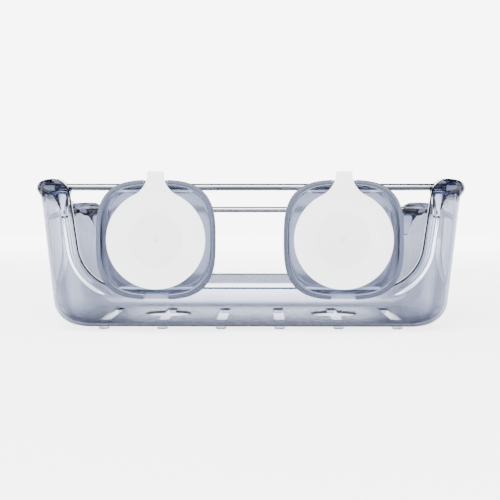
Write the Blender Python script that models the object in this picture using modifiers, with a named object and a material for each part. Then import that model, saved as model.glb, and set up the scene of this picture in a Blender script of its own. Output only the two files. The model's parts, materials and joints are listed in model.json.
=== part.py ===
# Suction basket: a clear moulded shower basket on two steel rails, carried by two lever-locked
# suction units that clip on the rear rail. Metres, +Z up. The basket's open front faces -Y and
# the wall that the cups hold on to is at +Y. The part stands on its feet, centred on the origin.
import math

import bmesh
import bpy
from mathutils import Matrix, Vector

# Basket: outside sizes, with heights measured from the underside of its floor
LENGTH_OVER_LIPS = 0.3050
DEPTH_AT_RIM = 0.1450
REAR_RIM_HEIGHT = 0.1044
FRONT_RIM_HEIGHT = 0.0884
LOW_WALL_HEIGHT = 0.0288
WALL = 0.0024
END_DRAFT = math.radians(5.9)
WALL_DRAFT = math.radians(1.2)
CORNER_RADIUS = 0.0180
FLOOR_CORNER_RADIUS = 0.0110
END_FILLET = 0.0170
WALL_FILLET = 0.0090
LIP_HEIGHT = 0.0100
LIP_FLARE = 0.0026

# Low windows cut into the rear and front walls between the end walls
WINDOW_INSET = 0.0299
WINDOW_LEAN = math.radians(8.0)
WINDOW_CORNER_RADIUS = 0.0320
SHOULDER_RADIUS = 0.0118
SHOULDER_END = math.radians(95.4)

# Bead that stiffens the wall a little way outside the rising edge of each window
BEAD_INSET = 0.0060
BEAD_RADIUS = 0.0026
BEAD_END_RADIUS = 0.0009
BEAD_TAPER_STEPS = 6
BEAD_RUN_OUT = 0.0120

# Rails and the sockets that hold their ends
RAIL_RADIUS = 0.0024
RAIL_END_INSET = 0.0144
RAIL_CHAMFER = 0.0004
RAIL_BELOW_RIM = 0.0057
RAIL_INSET = 0.0075
SOCKET_RADIUS = 0.0052
SOCKET_MOUTH_INSET = 0.0237
SOCKET_LENGTH = 0.0126
GUSSET_HEIGHT = 0.0215
GUSSET_TOP_WIDTH = 0.0124
GUSSET_TIP_RADIUS = 0.0024

# Floor: drainage slots in a row, with a round bottle hole through two of them, and feet
SLOT_COUNT = 6
SLOT_WIDTH = 0.0078
SLOT_SIDE_MARGIN = 0.0161
SLOT_END_MARGIN = 0.0195
SLOT_CENTRE_BACK = 0.0010
BOTTLE_HOLE_RADIUS = 0.0180
BOTTLE_HOLE_SLOTS = (1, 4)
FOOT_RADIUS = 0.0039
FOOT_HEIGHT = 0.0031
FOOT_ROW_GAP = 0.0048

# Suction units: their place on the rear rail
UNIT_FROM_RAIL_END = 0.0722
HOUSING_TOP_OVER_RAIL = 0.0044
STAND_OFF = 0.0205

# Housing: a rounded square shell round the cup, wide open towards the wall
HOUSING_CUP_GAP = 0.00355
HOUSING_POWER = 3.1
HOUSING_RIM_GAP = 0.0012
HOUSING_RIM_WALL = 0.0035
HOUSING_DRAFT = math.radians(6.0)
HOUSING_INNER_DRAFT = math.radians(3.0)
HOUSING_FILLET = 0.0030
PLATE = 0.0020
NOTCH_WIDTH = 0.0160
NOTCH_DEPTH = 0.0035
CROSS_RIB_INSET = 0.0040
CROSS_RIB_THICKNESS = 0.0015
CROSS_RIB_GAP = 0.0030
PRESS_RING_INSET = 0.00445
PRESS_RING_THICKNESS = 0.0018
GUIDE_WALL = 0.0020
GUIDE_LENGTH = 0.0085
SPOKE_THICKNESS = 0.0014
SPOKE_HEIGHT = 0.0060

# Clip round the rear rail, and catches over the edge of the low rear wall
CLIP_HALF_WIDTH = 0.0200
CLIP_WALL = 0.0018
CLIP_OPEN_HALF_ANGLE = math.radians(62.0)
CATCH_INNER = 0.0100
CATCH_WIDTH = 0.0060
CATCH_WALL = 0.0014
CATCH_DROP = 0.0022

# Suction cup with its pull tab
CUP_RADIUS = 0.03345
CUP_SEAL_WIDTH = 0.0090
CUP_HOLLOW = 0.0016
CUP_EDGE = 0.0012
CUP_ROOT = 0.0024
CUP_BOSS_RADIUS = 0.0125
CUP_BOSS_HEIGHT = 0.0080
CUP_WEB = 0.0014
DISH_RADIUS_SHARES = (0, 0.35, 0.6, 0.8, 0.92)
DISH_POWER = 3
TAB_HALF_WIDTH = 0.0055
TAB_LENGTH = 0.01255
TAB_THICKNESS = 0.0014
TAB_SET_BACK = 0.0003
TAB_FLARE_RADIUS = 0.0165
TAB_CORNER = 0.0014
TAB_ROOT_SHARE = 0.6

# Stem moulded into the cup, and the pin through its eye
STEM_RADIUS = 0.0050
STEM_FLANGE_RADIUS = 0.0095
STEM_FLANGE = 0.0020
EYE_HALF_WIDTH = 0.0035
EYE_RADIUS = 0.0045
EYE_NECK = 0.0050
EYE_ROOT_SHARE = 0.7
PIN_RADIUS = 0.0020
PIN_SHY = 0.0006

# Lever with a cam that draws the stem away from the wall, on a steel plate
LEVER_WIDTH = 0.0200
CAM_LOCKED = 0.0080
CAM_FREE = 0.0055
LEVER_TURN = math.radians(90.0)
ARM_OVER_LOW_WALL = 0.0033
ARM_THICKNESS = 0.0034
ARM_BACK = 0.0072
ARM_SHOULDER_SHARE = 0.625
FINGER_LIFT = 0.0050
FINGER_LENGTH = 0.0065
LEVER_EDGE = 0.0006
CAM_HEEL_SHARES = ((1, 0.6), (0.4, 1.9))
FINGER_FRONT_SHARES = ((0, 1), (0.4, 0.45), (1, 0), (0.4, -0.09))
FINGER_BACK_SHARES = ((0.3, 0.4), (0, 1))
CAM_PLATE_RADIUS = 0.0110
CAM_PLATE_THICKNESS = 0.0008

# Gaps and overruns that serve every fit and every cut
CLEARANCE = 0.0003
OVERRUN = 0.0010
BITE = 0.0004
MERGE_DISTANCE = 0.00001

# Steps of the curved outlines
RING_STEPS = 48
CORNER_STEPS = 7
ROUND_STEPS = 28
PIN_STEPS = 20

# Worked out from the sizes above
rim_half_length = LENGTH_OVER_LIPS / 2 - LIP_FLARE
rim_half_depth = DEPTH_AT_RIM / 2
window_half_width = rim_half_length - WINDOW_INSET
rail_half_length = rim_half_length - RAIL_END_INSET
socket_mouth = rim_half_length - SOCKET_MOUTH_INSET
housing_inner = CUP_RADIUS + HOUSING_CUP_GAP
housing_half = housing_inner + HOUSING_RIM_WALL
cross_rib_offset = housing_inner - CROSS_RIB_INSET
press_ring_radius = CUP_RADIUS - PRESS_RING_INSET
tab_reach = CUP_RADIUS + TAB_LENGTH


def half_length(height):
    """Half of the basket's outside length at a height over its floor."""
    return rim_half_length - (REAR_RIM_HEIGHT - height) * math.tan(END_DRAFT)


def half_depth(height):
    """Half of the basket's outside depth at a height over its floor."""
    return rim_half_depth - (REAR_RIM_HEIGHT - height) * math.tan(WALL_DRAFT)


# The cups' sealing face and the front lip are equally far from the origin
basket_y = (half_depth(FRONT_RIM_HEIGHT) + LIP_FLARE - rim_half_depth - STAND_OFF) / 2
wall_y = basket_y + rim_half_depth + STAND_OFF
floor_z = FOOT_HEIGHT


def rim_height(y):
    """Height of the rim over the floor, falling evenly from the rear to the front."""
    part = (y - (basket_y - rim_half_depth)) / DEPTH_AT_RIM
    return FRONT_RIM_HEIGHT + (REAR_RIM_HEIGHT - FRONT_RIM_HEIGHT) * part


rail_reach = rim_half_depth - RAIL_INSET
rear_rail = Vector((0, basket_y + rail_reach, floor_z + REAR_RIM_HEIGHT - RAIL_BELOW_RIM))
front_rail = Vector((0, basket_y - rail_reach, floor_z + FRONT_RIM_HEIGHT - RAIL_BELOW_RIM))
unit_offset = rail_half_length - UNIT_FROM_RAIL_END
unit_z = rear_rail.z + HOUSING_TOP_OVER_RAIL - housing_half
arm_length = unit_z - floor_z - LOW_WALL_HEIGHT - ARM_OVER_LOW_WALL
arm_shoulder = (arm_length - FINGER_LENGTH) * ARM_SHOULDER_SHARE
plate_front_y = basket_y + half_depth(LOW_WALL_HEIGHT) + CLEARANCE
plate_back_y = plate_front_y + PLATE
cam_plate_front_y = plate_front_y - CLEARANCE - CAM_PLATE_THICKNESS
pin_y = cam_plate_front_y - CLEARANCE - CAM_LOCKED
bore_radius = STEM_RADIUS + CLEARANCE
slot_y = basket_y + SLOT_CENTRE_BACK
slot_half_length = half_depth(0) - WALL_FILLET - SLOT_END_MARGIN
last_slot_x = half_length(0) - END_FILLET - SLOT_SIDE_MARGIN


def clear_scene():
    for obj in list(bpy.data.objects):
        bpy.data.objects.remove(obj, do_unlink=True)


def new_collection(name):
    collection = bpy.data.collections.new(name)
    bpy.context.scene.collection.children.link(collection)
    return collection


def new_material(name, color, roughness, metallic=0.0, alpha=1.0):
    material = bpy.data.materials.new(name)
    material.use_nodes = True
    shader = material.node_tree.nodes["Principled BSDF"]
    shader.inputs["Base Color"].default_value = (*color, 1.0)
    shader.inputs["Roughness"].default_value = roughness
    shader.inputs["Metallic"].default_value = metallic
    shader.inputs["Alpha"].default_value = alpha
    return material


clear_scene()
parts = new_collection("suction_basket")
cutters = new_collection("cutters")
clear_plastic = new_material("clear_plastic", (0.62, 0.68, 0.76), 0.08, alpha=0.35)
housing_plastic = new_material("housing_plastic", (0.42, 0.50, 0.64), 0.10, alpha=0.45)
lever_plastic = new_material("lever_plastic", (0.60, 0.67, 0.76), 0.10, alpha=0.45)
white_rubber = new_material("white_rubber", (0.84, 0.84, 0.85), 0.50)
stem_plastic = new_material("stem_plastic", (0.78, 0.79, 0.80), 0.35)
rail_steel = new_material("rail_steel", (0.72, 0.72, 0.74), 0.16, metallic=1.0)
pin_steel = new_material("pin_steel", (0.62, 0.62, 0.64), 0.28, metallic=1.0)


def add_object(name, bm, material, collection=parts, origin=(0, 0, 0)):
    """Turn a mesh made in world space into an object whose origin is at a given point."""
    mesh = bpy.data.meshes.new(name)
    bmesh.ops.translate(bm, verts=bm.verts, vec=-Vector(origin))
    bm.to_mesh(mesh)
    bm.free()
    obj = bpy.data.objects.new(name, mesh)
    obj.location = origin
    if material:
        mesh.materials.append(material)
    collection.objects.link(obj)
    return obj


def smooth(obj, angle=math.radians(35)):
    obj.data.shade_smooth()
    obj.data.set_sharp_from_angle(angle=angle)


def as_tool(obj):
    obj.hide_render = True
    obj.display_type = "WIRE"
    return obj


def combine(obj, tool, operation):
    """Cut a tool out of an object, or join it on."""
    modifier = obj.modifiers.new(tool.name, "BOOLEAN")
    modifier.operation = operation
    modifier.object = as_tool(tool)
    modifier.solver = "EXACT"


def loft(sections):
    """Closed body through rings of equally many points, with flat ends."""
    bm = bmesh.new()
    rings = [[bm.verts.new(point) for point in section] for section in sections]
    for lower, upper in zip(rings, rings[1:]):
        for i in range(len(lower)):
            j = (i + 1) % len(lower)
            bm.faces.new((lower[i], lower[j], upper[j], upper[i]))
    bm.faces.new(reversed(rings[0]))
    bm.faces.new(rings[-1])
    bmesh.ops.recalc_face_normals(bm, faces=bm.faces)
    return bm


def prism(outline, start, end, place):
    """Closed body of a flat outline drawn out from start to end; place gives each point in space."""
    return loft([[place(u, v, w) for u, v in outline] for w in (start, end)])


def along_x(u, v, w):
    return Vector((w, u, v))


def along_y(u, v, w):
    return Vector((u, w, v))


def along_z(u, v, w):
    return Vector((u, v, w))


def arc(centre, radius, start, end, steps):
    """Points of a circular arc, both ends included."""
    angles = [start + (end - start) * i / steps for i in range(steps + 1)]
    return [(centre[0] + radius * math.cos(a), centre[1] + radius * math.sin(a)) for a in angles]


def box(low, high):
    bm = bmesh.new()
    bmesh.ops.create_cube(bm, size=1.0)
    for vert in bm.verts:
        for i in range(3):
            vert.co[i] = high[i] if vert.co[i] > 0 else low[i]
    return bm


def cylinder(radius, start, end, axis, steps, centre):
    """Closed cylinder along X, Y or Z between two values, round a centre line."""
    bm = bmesh.new()
    bmesh.ops.create_cone(
        bm, cap_ends=True, segments=steps, radius1=radius, radius2=radius, depth=end - start
    )
    turns = {"X": (math.radians(90), "Y"), "Y": (math.radians(-90), "X")}
    if axis in turns:
        angle, about = turns[axis]
        bmesh.ops.transform(bm, matrix=Matrix.Rotation(angle, 4, about), verts=bm.verts)
    middle = Vector(centre)
    middle["XYZ".index(axis)] = (start + end) / 2
    bmesh.ops.translate(bm, verts=bm.verts, vec=middle)
    return bm


def turned(name, profile, material, centre, collection=parts, closed=False, steps=RING_STEPS):
    """Body turned about a line along Y: profile points are (radius, distance towards the wall)."""
    mesh = bpy.data.meshes.new(name)
    edges = [(i, i + 1) for i in range(len(profile) - 1)]
    if closed:
        edges.append((len(profile) - 1, 0))
    mesh.from_pydata([(radius, 0, height) for radius, height in profile], edges, [])
    if material:
        mesh.materials.append(material)
    obj = bpy.data.objects.new(name, mesh)
    obj.location = centre
    obj.rotation_euler = (math.radians(-90), 0, 0)
    collection.objects.link(obj)
    screw = obj.modifiers.new("turn", "SCREW")
    screw.axis = "Z"
    screw.steps = steps
    screw.render_steps = steps
    screw.use_merge_vertices = True
    screw.merge_threshold = MERGE_DISTANCE
    screw.use_smooth_shade = True
    return obj


def rounded_rectangle(half_x, half_y, radius):
    """Points of a rectangle with round corners, anticlockwise from the +X side."""
    points = []
    for corner in range(4):
        angle = corner * math.pi / 2
        side_x = (1, -1, -1, 1)[corner]
        side_y = (1, 1, -1, -1)[corner]
        centre = (side_x * (half_x - radius), side_y * (half_y - radius))
        points += arc(centre, radius, angle, angle + math.pi / 2, CORNER_STEPS)
    return points


def basket_ring(height, inset_x=0.0, inset_y=0.0, radius=CORNER_RADIUS):
    """One level ring of the basket's outer surface."""
    outline = rounded_rectangle(half_length(height) - inset_x, half_depth(height) - inset_y, radius)
    return [Vector((x, basket_y + y, floor_z + height)) for x, y in outline]


def lip_ring(below_rim, flare):
    """One ring near the rim, which follows the rim down from the rear to the front."""
    points = []
    for x, y in rounded_rectangle(rim_half_length, rim_half_depth, CORNER_RADIUS):
        height = rim_height(basket_y + y) - below_rim
        grow_x = (half_length(height) + flare) / rim_half_length
        grow_y = (half_depth(height) + flare) / rim_half_depth
        points.append(Vector((x * grow_x, basket_y + y * grow_y, floor_z + height)))
    return points


def make_basket_shell():
    """Open shell from the floor up to the flared lips, thickened inwards."""
    fillet_steps = 5
    rings = []
    for i in range(fillet_steps + 1):
        angle = math.pi / 2 * i / fillet_steps
        share = 1 - math.sin(angle)
        radius = CORNER_RADIUS + (FLOOR_CORNER_RADIUS - CORNER_RADIUS) * share
        height = END_FILLET * (1 - math.cos(angle))
        rings.append(basket_ring(height, END_FILLET * share, WALL_FILLET * share, radius))
    lip_steps = 4
    for i in range(lip_steps + 1):
        share = i / lip_steps
        rings.append(lip_ring(LIP_HEIGHT * (1 - share), LIP_FLARE * share * share))
    bm = loft(rings)
    caps = [face for face in bm.faces if len(face.verts) > 4]
    rim = [face for face in caps if face.calc_center_median().z > floor_z + OVERRUN]
    bmesh.ops.delete(bm, geom=rim, context="FACES_ONLY")
    shell = add_object("basket", bm, clear_plastic)
    solid = shell.modifiers.new("wall", "SOLIDIFY")
    solid.thickness = WALL
    solid.offset = -1.0
    solid.use_even_offset = True
    return shell


def window_side(rim):
    """Right half of a window's outline (x, height): low edge, corner, leaning side and shoulder."""
    lean_x = math.sin(WINDOW_LEAN)
    lean_z = math.cos(WINDOW_LEAN)
    corner_z = LOW_WALL_HEIGHT + WINDOW_CORNER_RADIUS
    corner_x = window_half_width - WINDOW_CORNER_RADIUS
    points = arc((corner_x, corner_z), WINDOW_CORNER_RADIUS, -math.pi / 2, -WINDOW_LEAN, 9)
    start_x, start_z = points[-1]
    shoulder_z = rim - SHOULDER_RADIUS
    rise = (shoulder_z + SHOULDER_RADIUS * lean_x - start_z) / lean_z
    top_x = start_x + rise * lean_x
    centre = (top_x + SHOULDER_RADIUS * lean_z, shoulder_z)
    points += arc(centre, SHOULDER_RADIUS, math.pi - WINDOW_LEAN, SHOULDER_END, 6)
    return points


def window_cutter(name, rim, start, end):
    side = window_side(rim)
    top = rim + LIP_HEIGHT
    side.append((side[-1][0], top))
    outline = side + [(-x, z) for x, z in reversed(side)]
    outline = [(x, floor_z + z) for x, z in outline]
    return add_object(name, prism(outline, start, end, along_y), None, cutters)


def edge_bead(name, rim, sign_x, sign_y):
    """Round bead in the wall beside a window's rising edge, dying out at both ends."""
    tip = rim - RAIL_BELOW_RIM - GUSSET_HEIGHT
    side = [point for point in window_side(rim) if point[1] < tip]
    for height in (tip, tip + BEAD_RUN_OUT):
        side.append((side[-1][0] + (height - side[-1][1]) * math.tan(WINDOW_LEAN), height))
    tapers = [min(1.0, i / BEAD_TAPER_STEPS) for i in range(len(side))]
    tapers[-1] = 0.0
    curve = bpy.data.curves.new(name, "CURVE")
    curve.dimensions = "3D"
    curve.bevel_depth = BEAD_RADIUS
    curve.bevel_resolution = 2
    curve.use_fill_caps = True
    spline = curve.splines.new("POLY")
    spline.points.add(len(side) - 1)
    for i, (x, z) in enumerate(side):
        before = side[max(i - 1, 0)]
        after = side[min(i + 1, len(side) - 1)]
        tangent = Vector((after[0] - before[0], after[1] - before[1])).normalized()
        radius = BEAD_END_RADIUS + (BEAD_RADIUS - BEAD_END_RADIUS) * tapers[i]
        out_x = x + tangent.y * BEAD_INSET
        out_z = z - tangent.x * BEAD_INSET
        out_y = basket_y + sign_y * (half_depth(out_z) - WALL / 2)
        spline.points[i].co = (sign_x * out_x, out_y, floor_z + out_z, 1)
        spline.points[i].radius = radius / BEAD_RADIUS
    curve_object = bpy.data.objects.new(name, curve)
    cutters.objects.link(curve_object)
    graph = bpy.context.evaluated_depsgraph_get()
    mesh = bpy.data.meshes.new_from_object(curve_object.evaluated_get(graph))
    bpy.data.objects.remove(curve_object, do_unlink=True)
    bm = bmesh.new()
    bm.from_mesh(mesh)
    bpy.data.meshes.remove(mesh)
    bmesh.ops.remove_doubles(bm, verts=bm.verts, dist=MERGE_DISTANCE)
    bmesh.ops.recalc_face_normals(bm, faces=bm.faces)
    return add_object(name, bm, None, cutters)


def socket_boss(name, rail, sign_x, sign_y):
    """Round-nosed block inside a top corner, which holds a rail's end."""
    wall_side = basket_y + sign_y * (half_depth(rail.z - floor_z) - WALL / 2)
    nose = arc((rail.y, rail.z), SOCKET_RADIUS, math.pi / 2, 3 * math.pi / 2, 10)
    nose = [(rail.y - sign_y * (rail.y - y), z) for y, z in nose]
    outline = [(wall_side, nose[0][1])] + nose + [(wall_side, nose[-1][1])]
    ends = sorted((sign_x * socket_mouth, sign_x * (socket_mouth + SOCKET_LENGTH)))
    return add_object(name, prism(outline, *ends, along_x), None, cutters)


def socket_gusset(name, rail, sign_x, sign_y):
    """Spear-shaped gusset that carries a socket down along the window's edge."""
    top_x = socket_mouth + BITE + GUSSET_TOP_WIDTH / 2
    tip_z = rail.z - floor_z - GUSSET_HEIGHT
    tip_x = socket_mouth + BITE + GUSSET_TIP_RADIUS
    tip_y = half_depth(tip_z) - WALL / 2 - GUSSET_TIP_RADIUS / 2
    levels = (
        (tip_z, tip_x, tip_y, GUSSET_TIP_RADIUS, GUSSET_TIP_RADIUS),
        (rail.z - floor_z, top_x, abs(rail.y - basket_y), GUSSET_TOP_WIDTH / 2, SOCKET_RADIUS - BITE),
    )
    rings = []
    for height, x, y, radius_x, radius_y in levels:
        ring = []
        for i in range(PIN_STEPS):
            angle = 2 * math.pi * i / PIN_STEPS
            place_x = sign_x * (x + radius_x * math.cos(angle))
            place_y = basket_y + sign_y * (y + radius_y * math.sin(angle))
            ring.append(Vector((place_x, place_y, floor_z + height)))
        rings.append(ring)
    return add_object(name, loft(rings), None, cutters)


def slot_places():
    return [last_slot_x * (2 * i / (SLOT_COUNT - 1) - 1) for i in range(SLOT_COUNT)]


def slot_cutter(name, x):
    radius = SLOT_WIDTH / 2
    reach = slot_half_length - radius
    outline = arc((x, slot_y + reach), radius, 0, math.pi, 10)
    outline += arc((x, slot_y - reach), radius, math.pi, 2 * math.pi, 10)
    bm = prism(outline, floor_z - OVERRUN, floor_z + WALL + OVERRUN, along_z)
    return add_object(name, bm, None, cutters)


def make_basket():
    basket = make_basket_shell()
    for i, x in enumerate(slot_places()):
        combine(basket, slot_cutter(f"slot_{i + 1}", x), "DIFFERENCE")
        if i in BOTTLE_HOLE_SLOTS:
            top = floor_z + WALL + OVERRUN
            bm = cylinder(BOTTLE_HOLE_RADIUS, floor_z - OVERRUN, top, "Z", ROUND_STEPS, (x, slot_y, 0))
            combine(basket, add_object(f"bottle_hole_{i + 1}", bm, None, cutters), "DIFFERENCE")
    for rail, rim, sign_y, side in (
        (rear_rail, REAR_RIM_HEIGHT, 1, "rear"),
        (front_rail, FRONT_RIM_HEIGHT, -1, "front"),
    ):
        for sign_x, hand in ((-1, "left"), (1, "right")):
            label = f"{side}_{hand}"
            combine(basket, socket_boss(f"boss_{label}", rail, sign_x, sign_y), "UNION")
            combine(basket, socket_gusset(f"gusset_{label}", rail, sign_x, sign_y), "UNION")
            combine(basket, edge_bead(f"bead_{label}", rim, sign_x, sign_y), "UNION")
        inner = rail.y - sign_y * (SOCKET_RADIUS + OVERRUN)
        outer = basket_y + sign_y * (rim_half_depth + LIP_FLARE + OVERRUN)
        window = window_cutter(f"{side}_window", rim, *sorted((inner, outer)))
        combine(basket, window, "DIFFERENCE")
        reach_x = rail_half_length + CLEARANCE
        bm = cylinder(RAIL_RADIUS + CLEARANCE, -reach_x, reach_x, "X", PIN_STEPS, rail)
        combine(basket, add_object(f"bore_{side}", bm, None, cutters), "DIFFERENCE")
    row = slot_half_length + FOOT_ROW_GAP
    for i, x in enumerate(slot_places()):
        for j, y in enumerate((slot_y - row, slot_y + row)):
            bm = cylinder(FOOT_RADIUS, 0, floor_z + WALL / 2, "Z", PIN_STEPS, (x, y, 0))
            combine(basket, add_object(f"foot_{i + 1}_{j + 1}", bm, None, cutters), "UNION")
    smooth(basket)
    return basket


def make_rail(name, rail):
    bm = cylinder(RAIL_RADIUS, -rail_half_length, rail_half_length, "X", PIN_STEPS, rail)
    obj = add_object(name, bm, rail_steel, origin=rail)
    bevel = obj.modifiers.new("ends", "BEVEL")
    bevel.width = RAIL_CHAMFER
    bevel.segments = 1
    bevel.limit_method = "ANGLE"
    bevel.angle_limit = math.radians(60)
    smooth(obj)
    return obj


def squircle(centre_x, y, half):
    """Ring of a rounded square in a plane across Y."""
    ring = []
    for i in range(RING_STEPS):
        angle = 2 * math.pi * (i + 0.5) / RING_STEPS
        spread = abs(math.cos(angle)) ** HOUSING_POWER + abs(math.sin(angle)) ** HOUSING_POWER
        radius = half / spread ** (1 / HOUSING_POWER)
        ring.append(Vector((centre_x + radius * math.cos(angle), y, unit_z + radius * math.sin(angle))))
    return ring


def housing_body(name, x):
    """Outer form of the housing, with its cavity cut from the wall side."""
    rim_y = wall_y - HOUSING_RIM_GAP
    half = housing_half
    depth = rim_y - plate_front_y
    rings = [squircle(x, rim_y, half)]
    shoulder = half - (depth - HOUSING_FILLET) * math.tan(HOUSING_DRAFT)
    for i in range(4):
        angle = math.pi / 2 * i / 3
        inset = HOUSING_FILLET * (1 - math.cos(angle))
        rings.append(squircle(x, plate_front_y + HOUSING_FILLET * (1 - math.sin(angle)), shoulder - inset))
    housing = add_object(name, loft(rings), housing_plastic, origin=(x, rear_rail.y, rear_rail.z))
    inner = housing_inner
    floor_half = inner - (rim_y - plate_back_y) * math.tan(HOUSING_INNER_DRAFT)
    cavity = [squircle(x, rim_y + OVERRUN, inner), squircle(x, rim_y, inner)]
    cavity.append(squircle(x, plate_back_y + PLATE / 2, floor_half))
    cavity.append(squircle(x, plate_back_y, floor_half - PLATE / 2))
    combine(housing, add_object(f"{name}_cavity", loft(cavity), None, cutters), "DIFFERENCE")
    return housing


def cross_ribs(name, x):
    """Straight ribs across the top and the bottom of the cavity."""
    start = plate_back_y - BITE
    end = wall_y - HOUSING_RIM_GAP - CROSS_RIB_GAP
    tools = []
    for sign, side in ((1, "top"), (-1, "bottom")):
        z = unit_z + sign * cross_rib_offset
        share = (cross_rib_offset / housing_inner) ** HOUSING_POWER
        half = housing_inner * (1 - share) ** (1 / HOUSING_POWER)
        low = (x - half - BITE, start, z - CROSS_RIB_THICKNESS / 2)
        high = (x + half + BITE, end, z + CROSS_RIB_THICKNESS / 2)
        tools.append(add_object(f"{name}_{side}_rib", box(low, high), None, cutters))
    return tools


def press_ring(name, x):
    """Ring that presses the cup's lip on the wall, and the guide round the stem."""
    edge = wall_y - cup_back(press_ring_radius) - CLEARANCE
    half = PRESS_RING_THICKNESS / 2
    start = plate_back_y - BITE
    centre = (x, 0, unit_z)
    ring = [
        (press_ring_radius + half, edge),
        (press_ring_radius + half, start),
        (press_ring_radius - half, start),
        (press_ring_radius - half, edge),
    ]
    guide_end = plate_back_y + GUIDE_LENGTH
    outer = bore_radius + GUIDE_WALL
    inner = bore_radius - BITE
    guide = [(outer, guide_end), (outer, start), (inner, start), (inner, guide_end)]
    made = turned(f"{name}_ring", ring, None, centre, cutters, closed=True)
    tube = turned(f"{name}_guide", guide, None, centre, cutters, closed=True, steps=ROUND_STEPS)
    spokes = []
    for i in range(4):
        angle = math.radians(45 + 90 * i)
        reach = (outer - BITE, press_ring_radius - half + BITE)
        side = Vector((-math.sin(angle), 0, math.cos(angle))) * SPOKE_THICKNESS / 2
        ray = Vector((math.cos(angle), 0, math.sin(angle)))
        low = Vector((x, start, unit_z))
        corners = [low + ray * reach[0] - side, low + ray * reach[1] - side]
        corners += [low + ray * reach[1] + side, low + ray * reach[0] + side]
        raised = [corner + Vector((0, SPOKE_HEIGHT, 0)) for corner in corners]
        spokes.append(add_object(f"{name}_spoke_{i + 1}", loft([corners, raised]), None, cutters))
    return [made, tube] + spokes


def cup_back(radius):
    """Distance of the cup's back from the wall at a radius, on its flexible lip."""
    share = (CUP_RADIUS - radius) / (CUP_RADIUS - CUP_BOSS_RADIUS)
    return CUP_EDGE + (CUP_ROOT + CUP_HOLLOW - CUP_EDGE) * share


def rail_clip(name, x):
    """Open clip under the rear rail, on a ledge that stands on the housing's plate."""
    inner = RAIL_RADIUS + CLEARANCE
    outer = inner + CLIP_WALL
    start = math.pi / 2 + CLIP_OPEN_HALF_ANGLE
    end = math.pi / 2 - CLIP_OPEN_HALF_ANGLE + 2 * math.pi
    centre = (rear_rail.y, rear_rail.z)
    outline = arc(centre, outer, start, end, 14) + arc(centre, inner, end, start, 14)
    clip = prism(outline, x - CLIP_HALF_WIDTH, x + CLIP_HALF_WIDTH, along_x)
    low = (x - CLIP_HALF_WIDTH + BITE, rear_rail.y, rear_rail.z - outer + BITE)
    high = (x + CLIP_HALF_WIDTH - BITE, plate_front_y + BITE, rear_rail.z - inner - BITE)
    return [
        add_object(f"{name}_clip", clip, None, cutters),
        add_object(f"{name}_ledge", box(low, high), None, cutters),
    ]


def wall_catches(name, x):
    """Hooks over the low rear wall's edge, beside the lever, each on a strap within the plate."""
    top = floor_z + LOW_WALL_HEIGHT + CLEARANCE
    inside = basket_y + half_depth(LOW_WALL_HEIGHT) - WALL - CLEARANCE - CATCH_DROP * math.tan(WALL_DRAFT)
    inside -= CLEARANCE / 2
    outline = [
        (plate_front_y + BITE, top),
        (plate_front_y + BITE, top + CATCH_WALL),
        (inside - CATCH_WALL, top + CATCH_WALL),
        (inside - CATCH_WALL, top - CATCH_DROP),
        (inside, top - CATCH_DROP),
        (inside, top),
    ]
    tools = []
    for sign, side in ((-1, "left"), (1, "right")):
        ends = sorted((x + sign * CATCH_INNER, x + sign * (CATCH_INNER + CATCH_WIDTH)))
        tools.append(add_object(f"{name}_{side}_catch", prism(outline, *ends, along_x), None, cutters))
        low = (ends[0] + BITE, plate_front_y + BITE / 2, top + BITE)
        high = (ends[1] - BITE, plate_back_y - BITE, unit_z - STEM_FLANGE_RADIUS)
        tools.append(add_object(f"{name}_{side}_strap", box(low, high), None, cutters))
    return tools


def make_housing(hand, x):
    name = f"{hand}_housing"
    housing = housing_body(name, x)
    for tool in cross_ribs(name, x) + press_ring(name, x) + rail_clip(name, x) + wall_catches(name, x):
        combine(housing, tool, "UNION")
    notch_y = wall_y - HOUSING_RIM_GAP - NOTCH_DEPTH
    for sign, side in ((1, "top"), (-1, "bottom")):
        ends = sorted((unit_z + sign * cross_rib_offset, unit_z + sign * (housing_half + OVERRUN)))
        low = (x - NOTCH_WIDTH / 2, notch_y, ends[0])
        high = (x + NOTCH_WIDTH / 2, wall_y + OVERRUN, ends[1])
        combine(housing, add_object(f"{name}_{side}_notch", box(low, high), None, cutters), "DIFFERENCE")
    ends = (plate_front_y - OVERRUN, plate_back_y + GUIDE_LENGTH + OVERRUN)
    bm = cylinder(bore_radius, *ends, "Y", ROUND_STEPS, (x, 0, unit_z))
    combine(housing, add_object(f"{name}_bore", bm, None, cutters), "DIFFERENCE")
    smooth(housing)
    return housing


def make_cam_plate(hand, x):
    """Steel washer under the cam, round the stem."""
    back = plate_front_y - CLEARANCE
    profile = [
        (CAM_PLATE_RADIUS, back),
        (CAM_PLATE_RADIUS, cam_plate_front_y),
        (bore_radius, cam_plate_front_y),
        (bore_radius, back),
    ]
    return turned(f"{hand}_cam_plate", profile, pin_steel, (x, 0, unit_z), closed=True, steps=ROUND_STEPS)


def pocket():
    """Pocket in the cup's boss for the stem's flange: radius, front and back, from the wall."""
    front = CUP_HOLLOW + CUP_WEB
    return STEM_FLANGE_RADIUS + CLEARANCE, front, front + STEM_FLANGE + 2 * CLEARANCE


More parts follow.
